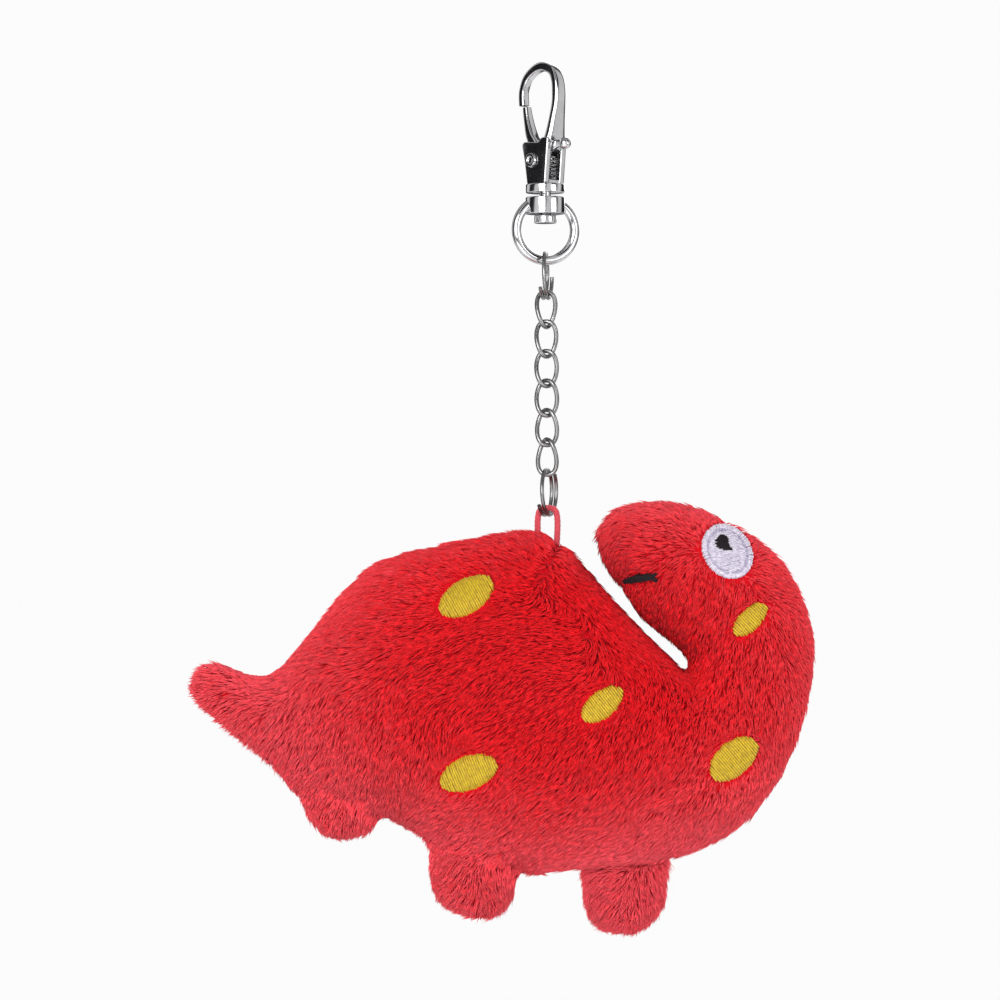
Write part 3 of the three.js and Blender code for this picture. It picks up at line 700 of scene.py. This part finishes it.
def stuffedCloth(name, nodes, spare, middle=0.0):
    # the nodes made one skin, smoothed and swollen, then moved along its normals until it holds what
    # they held; a bell curve of the distance to the middle plane draws the seam in
    points, faces, start = [], [], 0
    for node in nodes:
        source = frame["nodes"][node].data
        source.calc_loop_triangles()
        corners = np.empty(len(source.loop_triangles) * 3, np.int32)
        source.loop_triangles.foreach_get("vertices", corners)
        points.append(pointsOf(source))
        faces.append(corners.reshape(-1, 3) + start)
        start += len(points[-1])
    mesh = bpy.data.meshes.new(name)
    mesh.from_pydata(np.vstack(points).tolist(), [], np.vstack(faces).tolist())
    mesh = withModifier(mesh, "REMESH", mode="VOXEL", voxel_size=stuffing["voxel"] * mm)
    mesh = outerIsland(mesh)
    wanted = volumeAndArea(mesh)[0]
    mesh = withModifier(mesh, "SMOOTH", factor=0.6, iterations=stuffing["smoothing"])
    mesh = swollen(mesh)
    mesh = withModifier(mesh, "SUBSURF", levels=1, render_levels=1)
    points = pointsOf(mesh)
    volume, area = volumeAndArea(mesh)
    grow = (wanted - volume) / area + spare * mm * besideThroat(points)
    dip = stuffing["seamDip"] * mm * np.exp(-(((points[:, 1] - middle) / (0.9 * mm)) ** 2))
    setPoints(mesh, pushed(points + normalsOf(mesh) * (grow - dip)[:, None]))
    mesh.shade_smooth()
    mesh.name = name
    return mesh


underCloth, clothPaint, clothSurface = newMaterial("underCloth", Roughness=0.95, Specular_IOR_Level=0.05)
knit = clothPaint.noise(1800, 2)
knitColour = clothPaint.ramp(knit, (0.3, (0.38, 0.003, 0.007)), (0.7, (0.55, 0.006, 0.013)))
clothPaint.join(clothSurface["Base Color"], knitColour)
clothPaint.join(clothSurface["Normal"], clothPaint.bump(knit, 0.5, 0.2 * mm))

bodyNodes = ["front_panel", "back_panel", "body_filling"]
patchNames = [*(f"spot_{k}" for k in range(1, 6)), "eye_white", "pupil", "mouth"]
patchNodes = [f"{side}_{patch}" for side in ("front", "back") for patch in patchNames]
bodyMesh = stuffedCloth("plushBody", bodyNodes + patchNodes, 0.35)
plushBody = bpy.data.objects.new("plushBody", bodyMesh)
placed(plushBody, underCloth, "plush", bodyNodes)
legNodes = ["foreleg_front_panel", "foreleg_back_panel", "foreleg_filling"]
legMesh = stuffedCloth("plushForeleg", legNodes, -0.2, 5 * mm)
plushForeleg = bpy.data.objects.new("plushForeleg", legMesh)
placed(plushForeleg, underCloth, "plush", legNodes)
print("plush stuffed:", len(bodyMesh.polygons), len(legMesh.polygons))


def ovalOf(node):
    # centre, half axes and tilt of the oval that a patch fills: its reach along every direction
    points = pointsOf(frame["nodes"][node].data)[:, [0, 2]]
    angle = np.radians(np.arange(0, 180, 2))
    reach = points @ np.stack([np.cos(angle), np.sin(angle)])
    half = np.ptp(reach, axis=0) / 2
    long = half.argmax()
    centre = (points.max(0) + points.min(0)) / 2
    return {"centre": centre, "major": half[long], "minor": half.min(), "tilt": angle[long]}


bodyPoints = pointsOf(bodyMesh)
bodyNormals = normalsOf(bodyMesh)


def onCloth(x, z, side):
    # the stuffed surface over (x, z) and its normal: nearby points on that side, weighted by a bell curve
    chosen = (bodyPoints[:, 1] * side > 0) & (bodyNormals[:, 1] * side > 0.1)
    near, square = bodyPoints[chosen], bodyNormals[chosen]
    gap = (x[:, None] - near[None, :, 0]) ** 2 + (z[:, None] - near[None, :, 2]) ** 2
    weight = np.exp(-gap / (2 * (0.7 * mm) ** 2)) + 1e-12
    weight /= weight.sum(1, keepdims=True)
    return np.stack([x, weight @ near[:, 1], z], -1), unit(weight @ square)


def stitches(rows, side, lift, thick, sides=6):
    # each row is (x0, z0, x1, z1): a thread that rises from one end, runs over the cloth
    # and dives at the other
    rows = np.asarray(rows, float)
    t = np.linspace(0, 1, 9)[None]
    x = rows[:, :1] * (1 - t) + rows[:, 2:3] * t
    z = rows[:, 1:2] * (1 - t) + rows[:, 3:4] * t
    high = lift * (1 - (2 * t - 1) ** 6) - 0.35 * mm * np.abs(2 * t - 1) ** 8
    place, square = (v.reshape(*x.shape, 3) for v in onCloth(x.ravel(), z.ravel(), side))
    path = place + square * high[..., None]
    ahead = unit(np.gradient(path, axis=1))
    acrossWay = unit(np.cross(ahead, square))
    outWay = np.cross(acrossWay, ahead)
    a = circle(sides)
    radius = (thick / 2 * (1 - 0.55 * np.abs(2 * t - 1) ** 8))[..., None]
    ring = acrossWay[:, :, None] * (radius * np.cos(a))[..., None]
    ring = ring + outWay[:, :, None] * (radius * np.sin(a))[..., None]
    grids = path[:, :, None] + ring
    return merged(*(gridSurface(grid) for grid in grids))


def satinRows(oval, pitch, ragged, rng):
    # threads square to the long axis, from rim to rim, their ends a little uneven
    u = np.arange(-oval["major"] + pitch / 2, oval["major"], pitch)
    half = oval["minor"] * np.sqrt(np.maximum(1 - (u / oval["major"]) ** 2, 0.02))
    low = -half + rng.normal(0, ragged, len(u))
    high = half + rng.normal(0, ragged, len(u))
    lean = rng.normal(0, 0.12 * pitch, len(u))
    return fromOval(oval, np.stack([u - lean, low, u + lean, high], 1))


def fromOval(oval, ends):  # (long, short) pairs on the oval's axes to (x, z) pairs
    return np.hstack([tilted(pair, oval["tilt"]) + oval["centre"] for pair in (ends[:, :2], ends[:, 2:])])


def threadMaterial(name, light, dark, rough, sheen):  # flecks of two colours on fine strands
    fixed = {"Sheen_Weight": sheen, "Sheen_Roughness": 0.4, "Specular_IOR_Level": 0.3}
    material, paint, surface = newMaterial(name, **fixed)
    fleck = paint.noise(1500, 3)
    strand = paint.noise(6000, 1)
    paint.join(surface["Base Color"], paint.ramp(fleck, (0.28, dark), (0.62, light)))
    paint.join(surface["Roughness"], strand * 0.3 + rough)
    paint.join(surface["Normal"], paint.bump(strand, 0.5, 0.05 * mm))
    return material


yellowThread = threadMaterial("yellowThread", (0.49, 0.335, 0.008), (0.32, 0.20, 0.008), 0.35, 0.1)
whiteThread = threadMaterial("whiteThread", (0.56, 0.52, 0.60), (0.33, 0.30, 0.38), 0.5, 0.1)
blackThread = threadMaterial("blackThread", (0.008, 0.004, 0.007), (0.004, 0.002, 0.003), 0.7, 0.0)
greyThread = threadMaterial("greyThread", (0.44, 0.40, 0.52), (0.30, 0.27, 0.38), 0.5, 0.1)
threads = {"pitch": 0.45, "thick": 0.47, "eyePitch": 0.34, "eyeThick": 0.40, "stitch": 1.7}


def eyeRows(oval, rng):
    # short stitches in offset rows, kept inside the border
    pitch, length = threads["eyePitch"] * mm, threads["stitch"] * mm
    major, minor = oval["major"] - 1.0 * mm, oval["minor"] - 1.0 * mm
    rows = []
    slope = math.radians(-12) - oval["tilt"]  # the rows run a little downhill towards the cheek
    for k, v in enumerate(np.arange(-major, major, pitch)):
        starts = np.arange(-major, major, length) + (k % 3) * length / 3 + rng.normal(0, 0.1 * mm)
        for u in starts:
            ends = tilted(np.array([[u, v], [u + length * 0.97, v]]), slope)
            if ((ends / (major, minor)) ** 2).sum(1).max() < 1:
                rows.append(ends.ravel())
    return fromOval(oval, np.array(rows))


def borderRows(oval, width, inset, count, rng):
    # short satin stitches that point out from the middle, all the way round
    a = circle(count) + rng.normal(0, 0.01, count)
    rim = np.stack([np.cos(a), np.sin(a)], 1)
    outer = rim * (oval["major"] - inset, oval["minor"] - inset) + rng.normal(0, 0.06 * mm, (count, 1)) * rim
    inner = rim * (oval["major"] - inset - width, oval["minor"] - inset - width)
    return fromOval(oval, np.hstack([inner, outer]))


pupilRows = [  # height, left and right ends of each stitch, as shares of the patch's box
    (0.97, 0.30, 0.62), (0.88, 0.20, 0.76), (0.78, 0.16, 0.82), (0.68, 0.04, 0.84), (0.58, 0.12, 0.85),
    (0.47, 0.00, 0.86), (0.37, 0.14, 0.87), (0.26, 0.05, 0.90), (0.15, 0.24, 0.98), (0.05, 0.42, 1.02),
]


def pupilStitches(node, side):  # one stitch for each row of the list, a little downhill
    low, high = boxOf(node)
    wide, tall = high[0] - low[0], high[2] - low[2]
    rows = np.array([(left, share + 0.02, right, share - 0.02) for share, left, right in pupilRows])
    rows = rows * (wide, tall, wide, tall) + (low[0], low[2], low[0], low[2])
    return stitches(rows, side, 0.85 * mm, 0.46 * mm)


def mouthStitches(node, side, rng):
    # a line of short overlapping stitches that ends in a small hook
    low, high = boxOf(node)
    x = np.linspace(low[0] + 0.3 * mm, high[0] - 1.6 * mm, 9)
    middle = low[2] + (high[2] - low[2]) * np.linspace(0.32, 0.62, 9)
    rise = rng.normal(0.16 * mm, 0.12 * mm, 9)
    rows = np.stack([x, middle - rise, x + 1.25 * mm, middle + rise], 1)
    second = rows + np.array([0.2, -0.42, 0.1, -0.36]) * mm
    third = rows + np.array([0.1, 0.34, 0.2, 0.30]) * mm
    end = high[0] - 0.2 * mm
    hook = np.array([(-0.7, 0.75, 0, 0.2), (-0.6, 0.35, 0.1, -0.1)]) * mm + (end, low[2], end, low[2])
    return stitches(np.vstack([rows, second[:-1], third[1:], hook]), side, 1.3 * mm, 0.55 * mm)


def backing(oval, side, lift, inset):
    # a thin domed pad of thread under the stitches, so that no gap between them shows cloth
    rings = np.linspace(0.02, 1, 14)[:, None] * np.ones(48)
    a = np.ones((14, 1)) * circle(48)
    rim = np.stack([np.cos(a), np.sin(a)], -1) * (oval["major"] - inset, oval["minor"] - inset)
    flat = tilted((rings[..., None] * rim).reshape(-1, 2), oval["tilt"]) + oval["centre"]
    place, square = onCloth(flat[:, 0], flat[:, 1], side)
    dome = lift * (1 - rings.ravel() ** 6)[:, None]
    front = (place + square * dome).reshape(14, 48, 3)
    behind = (place - square * 0.5 * mm).reshape(14, 48, 3)[::-1]
    return gridSurface(np.vstack([front, behind]))


ovals = {}
rng = np.random.default_rng(11)
for label, side in (("front", -1), ("back", 1)):
    for k in range(1, 6):
        node = f"{label}_spot_{k}"
        oval = ovals[node] = ovalOf(node)
        rows = satinRows(oval, threads["pitch"] * mm, 0.08 * mm, rng)
        pad = backing(oval, side, 0.45 * mm, 0.35 * mm)
        spot = merged(pad, stitches(rows, side, 0.7 * mm, threads["thick"] * mm))
        addPiece(f"{label}Spot{k}", spot, yellowThread, "plush", [node], 80)
    node = f"{label}_eye_white"
    oval = ovals[node] = ovalOf(node)
    fill = stitches(eyeRows(oval, rng), side, 0.60 * mm, threads["eyeThick"] * mm)
    border = stitches(borderRows(oval, 1.0 * mm, 0.0, 92, rng), side, 0.62 * mm, 0.42 * mm)
    white = merged(backing(oval, side, 0.52 * mm, 0.3 * mm), fill, border)
    addPiece(f"{label}EyeWhite", white, whiteThread, "plush", [node], 80)
    outline = stitches(borderRows(oval, 0.3 * mm, 1.0 * mm, 70, rng), side, 0.60 * mm, 0.30 * mm)
    addPiece(f"{label}EyeOutline", outline, greyThread, "plush", (), 80)
    node = f"{label}_pupil"
    pupil = pupilStitches(node, side)
    addPiece(f"{label}Pupil", pupil, blackThread, "plush", [node], 80)
    node = f"{label}_mouth"
    low, high = boxOf(node)
    ovals[node] = {
        "centre": np.array([low[0] + high[0], low[2] + high[2]]) / 2,
        "major": (high[0] - low[0]) / 2, "minor": 0.45 * mm, "tilt": math.radians(4),
    }
    mouth = mouthStitches(node, side, rng)
    addPiece(f"{label}Mouth", mouth, blackThread, "plush", [node], 80)
print("embroidery stitched")


pile = {
    "length": 3.3, "lie": 0.90, "rise": 0.34, "bow": 0.14, "spread": 0.42, "gather": 0.60,
    "width": 0.17, "sink": 0.3, "perClump": 4, "tousle": 0.11, "swirl": 0.26, "fray": 0.05,
}
paintedHazeSpread = {"middle": (3, 0, -24), "reach": (62, 38)}  # mm: the pile is reddest at the middle, and painted backlight haze makes it paler towards the edges
# which way the pile lies: x, z from the seam point in mm, then the way it points
napWays = np.array([
    (-68, -26, -1.0, 0.25), (-66, -33, -0.8, -0.6), (-57, -28, -0.9, 0.1), (-56, -38, -0.6, -0.8),
    (-47, -34, -0.25, -0.97), (-46, -48, -0.45, -0.9), (-41, -57, -0.15, -1.0), (-38, -20, -0.95, -0.2),
    (-34, -40, -0.4, -0.9), (-30, -8, -0.95, -0.1), (-16, -3, -0.95, 0.2), (-4, -1, -0.7, 0.4),
    (5, -6, 0.5, -0.5), (14, -16, 0.5, -0.8), (2, -20, -0.9, -0.1), (-20, -24, -0.85, -0.5),
    (-24, -38, -0.2, -1.0), (-6, -33, -0.7, -0.5), (10, -42, -0.5, -0.85), (0, -50, -0.75, -0.65),
    (-14, -57, -0.8, -0.55), (10, -60, -0.85, -0.5), (24, -50, -0.6, -0.8), (40, -42, -0.1, -1.0),
    (48, -44, 0.5, -0.85), (41, -26, -0.1, -1.0), (51, -20, 0.5, -0.85), (30, -24, -0.3, -0.95),
    (24, -9, -0.5, -0.85), (36, -14, -0.25, -0.95), (20, 1, -1.0, 0.0), (30, 5, -0.6, 0.6),
    (40, 0, 0.5, 0.5), (46, -6, 0.85, -0.2), (12, 1, -0.45, -0.85), (13, -5, -0.25, -0.95),
    (-20, -70, -0.7, -0.7), (-10, -70, 0.2, -1.0), (11, -72, -0.6, -0.8), (21, -72, 0.3, -0.95),
])


def napAt(points):
    # the listed ways, weighted by one over the distance to the fourth power
    x = (points[:, 0] - seamPoint[0]) / mm
    z = (points[:, 2] - seamPoint[2]) / mm
    gap = (x[:, None] - napWays[:, 0]) ** 2 + (z[:, None] - napWays[:, 1]) ** 2 + 4
    way = (1 / gap**2) @ napWays[:, 2:]
    return unit(np.stack([way[:, 0], 0 * x, way[:, 1]], 1))


def ripple(points, size, phase):  # a smooth uneven value from -1 to 1: a few crossed waves
    x, y, z = (points / (size * mm)).T
    return (
        np.sin(x + 1.7 * np.sin(0.9 * z + phase)) + np.sin(1.3 * z + 1.1 * np.sin(1.2 * x - y + 2 * phase))
        + np.sin(0.8 * y + 0.9 * x + phase)
    ) / 3


def rooted(mesh, rng):
    # a clump at a random place in every face: its four corners blended both ways
    corners = quadsOf(mesh)
    u, v = rng.random((2, len(corners), 1))
    weights = [(1 - u) * (1 - v), u * (1 - v), u * v, (1 - u) * v]
    points, normals = pointsOf(mesh), normalsOf(mesh)
    place = sum(w * points[corners[:, k]] for k, w in enumerate(weights))
    square = unit(sum(w * normals[corners[:, k]] for k, w in enumerate(weights)))
    return place, square


def keptOff(place, way, square):
    # round a patch the pile is parted: the way loses what points into it, and the pile is shorter
    short = np.ones(len(place))
    keep = np.ones(len(place), bool)
    for node, oval in ovals.items():
        side = -1 if node.startswith("front") else 1
        there = square[:, 1] * side > 0.05
        away = place[:, [0, 2]] - oval["centre"]
        local = tilted(away, -oval["tilt"])
        share = np.linalg.norm(local / (oval["major"], oval["minor"]), axis=1)
        reach = np.linalg.norm(local, axis=1)
        gap = reach * (1 - 1 / np.maximum(share, 1e-6))  # distance past the rim
        keep &= ~(there & (gap < 0.1 * mm))
        slope = local / np.array([oval["major"] ** 2, oval["minor"] ** 2])
        outX, outZ = unit(tilted(slope, oval["tilt"])).T
        out = np.stack([outX, 0 * outX, outZ], 1)
        hold = np.where(there, np.exp(-((np.maximum(gap, 0) / (2.2 * mm)) ** 2)), 0)[:, None]
        into = np.minimum((way * out).sum(1, keepdims=True), 0)
        way = way - out * into * hold * 1.15
        short = np.minimum(short, 1 - 0.45 * hold[:, 0])
    return way, short, keep


def grownPile(mesh, rng):
    # clumps of curved three-sided tufts; returns tuft points (n, 7, 3), tones with painted haze and clump
    # places
    place, square = rooted(mesh, rng)
    way = napAt(place)
    way, short, keep = keptOff(place, way, square)
    place, square, way, short = place[keep], square[keep], way[keep], short[keep]
    along = way - square * (way * square).sum(1, keepdims=True)
    along += rng.normal(0, 0.05, along.shape)
    along = unit(along - square * (along * square).sum(1, keepdims=True))
    across = np.cross(square, along)
    count, per = len(place), pile["perClump"]
    spin = (pile["swirl"] * ripple(place, 3.2, 1.0) + rng.normal(0, pile["tousle"], count))[:, None]
    along, across = along * np.cos(spin) + across * np.sin(spin), across * np.cos(spin) - along * np.sin(spin)
    long = pile["length"] * mm * short * (1 + 0.14 * ripple(place, 5, 2.0) + rng.normal(0, 0.10, count))
    offset = rng.normal(0, pile["spread"] * mm, (count, per, 2))
    ownLong = long[:, None, None] * rng.uniform(0.72, 1.12, (count, per, 1))
    frayed = rng.normal(0, pile["fray"], (count, per, 2))
    n, t, s = square[:, None], along[:, None], across[:, None]
    root = place[:, None] + t * offset[..., :1] + s * offset[..., 1:] - n * pile["sink"] * mm
    held = 1 - pile["gather"]
    lean = t * (pile["lie"] + frayed[..., :1]) + s * frayed[..., 1:] + n * pile["rise"]
    tip = place[:, None] + (t * offset[..., :1] + s * offset[..., 1:]) * held + lean * ownLong
    middle = (root + tip) / 2 + n * pile["bow"] * ownLong
    # painted backlight haze: paler the farther a clump is from the middle of the body, and a painted rim
    # light a little where the cloth turns away
    far = np.linalg.norm(((place - seamPoint) / mm - paintedHazeSpread["middle"])[:, [0, 2]] / paintedHazeSpread["reach"], axis=1)
    paintedHaze = 0.52 * ((far - 0.35) / 0.6).clip(0, 1) ** 1.2 + 0.12 * (1 - np.abs(square[:, 1]))
    toneWithHaze = (0.25 + 0.04 * ripple(place, 9, 0.3) + paintedHaze + rng.normal(0, 0.04, count))[:, None]
    toneWithHaze = toneWithHaze + rng.normal(0, 0.035, (count, per))
    root, tip, middle = (v.reshape(-1, 3) for v in (root, tip, middle))
    sideways = unit(np.cross(tip - root, np.repeat(square, per, 0)))
    upwards = unit(np.cross(sideways, tip - root))
    a = circle(3) + np.pi / 2
    ring = sideways[:, None] * np.cos(a)[None, :, None] + upwards[:, None] * np.sin(a)[None, :, None]
    wide = pile["width"] * mm * rng.uniform(0.75, 1.2, (len(root), 1, 1))
    low, high = root[:, None] + ring * wide, middle[:, None] + ring * wide * 0.8
    points = np.concatenate([low, high, tip[:, None]], 1)
    return points, toneWithHaze.ravel().clip(0.02, 0.98), np.repeat(place, per, 0)


def addPile(name, points, tonesWithHaze, material):
    # every tuft: three quads up its sides, three triangles to its tip and one across its root
    count = len(points)
    quads = np.array([(0, 1, 4, 3), (1, 2, 5, 4), (2, 0, 3, 5)])
    tris = np.array([(3, 4, 6), (4, 5, 6), (5, 3, 6), (2, 1, 0)])
    base = np.arange(count)[:, None, None] * 7
    corners = np.hstack([(quads + base).reshape(count, -1), (tris + base).reshape(count, -1)])
    sizes = np.tile([4, 4, 4, 3, 3, 3, 3], count)
    mesh = bpy.data.meshes.new(name)
    mesh.vertices.add(count * 7)
    mesh.vertices.foreach_set("co", points.astype(np.float32).ravel())
    mesh.loops.add(corners.size)
    mesh.loops.foreach_set("vertex_index", corners.astype(np.int32).ravel())
    mesh.polygons.add(len(sizes))
    mesh.polygons.foreach_set("loop_start", np.concatenate([[0], np.cumsum(sizes)[:-1]]).astype(np.int32))
    mesh.polygons.foreach_set("use_smooth", np.ones(len(sizes), bool))
    # the map: tone with painted haze across, root to tip up, and each tuft a narrow strip
    high = np.array([0.02, 0.02, 0.02, 0.5, 0.5, 0.5, 0.98])
    aside = np.array([-1, 0, 1, -1, 0, 1, 0]) * 0.006
    order = np.concatenate([quads.ravel(), tris.ravel()])
    u = (tonesWithHaze[:, None] + aside[order]).clip(0, 1)
    v = np.broadcast_to(high[order], u.shape)
    layer = mesh.uv_layers.new(name="OFBake")
    layer.uv.foreach_set("vector", np.stack([u, v], -1).astype(np.float32).ravel())
    mesh.update(calc_edges=True)
    return placed(bpy.data.objects.new(name, mesh), material, "plush", ())


redPile, pilePaint, pileSurface = newMaterial(
    "redPile", Roughness=0.75, Sheen_Weight=0.10, Sheen_Roughness=0.4, Sheen_Tint=(1.0, 0.25, 0.30),
    Specular_IOR_Level=0.1,
)
uvNode = redPile.node_tree.nodes.new("ShaderNodeUVMap")
uvNode.uv_map = "OFBake"
splitNode = redPile.node_tree.nodes.new("ShaderNodeSeparateXYZ")
redPile.node_tree.links.new(uvNode.outputs[0], splitNode.inputs[0])
toneWithHazeWire, heightWire = Wire(pilePaint, splitNode.outputs[0]), Wire(pilePaint, splitNode.outputs[1])
# root to tip: darker at the root, painted shade deep in the pile between the tufts
fibreColour = pilePaint.ramp(
    heightWire, (0.0, (0.52, 0.003, 0.006)), (0.4, (0.65, 0.005, 0.009)), (1.0, (0.72, 0.008, 0.013))
)
# a low tone is darker than plain red, and a high one is paler: the painted backlight haze and rim light
toneAndHazeTint = pilePaint.ramp(
    toneWithHazeWire, (0.08, (0.78, 0.7, 0.75)), (0.27, (1, 1, 1)), (0.45, (1, 3, 2.4)),
    (0.65, (1.04, 7, 5.2)), (0.9, (1.1, 12, 9)),
)
pilePaint.join(pileSurface["Base Color"], pilePaint.mix(1.0, fibreColour, toneAndHazeTint, "MULTIPLY"))

rng = np.random.default_rng(5)
tufts, tonesWithHaze, places = grownPile(bodyMesh, rng)
fromSeam = (places - seamPoint) / mm
regions = {  # where each piece of pile is, measured from the seam point
    "Tail": fromSeam[:, 0] < -28,
    "Rump": fromSeam[:, 0] < -8,
    "Head": (fromSeam[:, 2] > -16) & (fromSeam[:, 2] > 5.5 - 1.22 * fromSeam[:, 0]),
    "Flank": fromSeam[:, 0] < 14,
    "Chest": fromSeam[:, 0] >= 14,
}
taken = np.zeros(len(places), bool)
for label, onSide in (("front", places[:, 1] < 0), ("back", places[:, 1] >= 0)):
    for region, inside in regions.items():
        chosen = inside & onSide & ~taken
        addPile(f"{label}Pile{region}", tufts[chosen], tonesWithHaze[chosen], redPile)
        taken |= chosen
print("pile grown on the body:", len(places), "fibres")
tufts, tonesWithHaze, places = grownPile(legMesh, rng)
addPile("forelegPile", tufts, tonesWithHaze, redPile)
print("pile grown on the foreleg:", len(places), "fibres")


cord = {"thick": 1.25, "strands": 3, "twists": 9, "crown": 1.25, "apart": 1.85, "high": 6.5, "sewnIn": 4}


def twistedCord(points, thick):
    # the section's edge has three lobes that turn as they go, as laid strands do
    path = smoothLine(points, 220)
    length = np.concatenate([[0], np.cumsum(np.linalg.norm(np.diff(path, axis=0), axis=1))])
    a = circle(27)[None]
    lay = cord["twists"] * 2 * np.pi * length[:, None] / length[-1]
    radius = thick / 2 * (0.92 + 0.10 * np.abs(np.cos(cord["strands"] / 2 * (a - lay))))
    return sweep(path, np.array([0, 1.0, 0]), radius * np.cos(a), radius * np.sin(a) * 0.9)


crown, apart, high, low = cord["crown"], cord["apart"], cord["high"], -cord["sewnIn"]
loopPoints = [  # x, z from the seam point: up one side, over the crown and down the other
    (-apart + 0.3, low), (-apart - 0.15, 0.35 * high), (-apart, high - 1.4), (-crown, high - 0.25),
    (0, high),
    (crown, high - 0.25), (apart, high - 1.4), (apart + 0.1, 0.35 * high), (apart - 0.3, low),
]
redCord, cordPaint, cordSurface = newMaterial("redCord", Sheen_Weight=0.4, Sheen_Roughness=0.5)
yarn = cordPaint.noise(2200, 3)
yarnColour = cordPaint.ramp(yarn, (0.3, (0.36, 0.018, 0.032)), (0.7, (0.54, 0.045, 0.065)))
cordPaint.join(cordSurface["Base Color"], yarnColour)
cordPaint.join(cordSurface["Roughness"], yarn * 0.2 + 0.7)
cordPaint.join(cordSurface["Normal"], cordPaint.bump(yarn, 0.5, 0.1 * mm))
loopPath = np.array([(x * mm, 0, seamPoint[2] + z * mm) for x, z in loopPoints])
cordLoop = twistedCord(loopPath, cord["thick"] * mm)
addPiece("cordLoop", cordLoop, redCord, "plush", ["fabric_loop"], 180)
print("cord loop made")


# a pale floor far below, which fades out before its edge
floorPlate = {"radius": 1.3, "below": 0.16, "sides": 64, "grey": (0.86, 0.86, 0.86)}  # metres
floorMaterial, floorPaint, floorSurface = newMaterial("paleFloor", Roughness=0.8)
floorPaint.join(floorSurface["Base Color"], floorPlate["grey"])
place = floorPaint.node("ShaderNodeTexCoord", output=3)
distance = floorPaint.node("ShaderNodeVectorMath", {"operation": "LENGTH"}, {0: place}, 1)
fade = floorPaint.ramp(1 - distance * 0.8, (0.1, (0, 0, 0)), (0.75, (1, 1, 1)))
floorPaint.join(floorSurface["Alpha"], fade)
a = circle(floorPlate["sides"])
floorZ = cadBox[0][2] - floorPlate["below"]
rim = [(*corner, floorZ) for corner in floorPlate["radius"] * np.stack([np.cos(a), np.sin(a)], 1)]
floorMesh = bpy.data.meshes.new("floor")
floorMesh.from_pydata(rim, [], [tuple(range(len(rim)))])
floor = bpy.data.objects.new("floor", floorMesh)
floorMesh.materials.append(floorMaterial)
scene.collection.objects.link(floor)
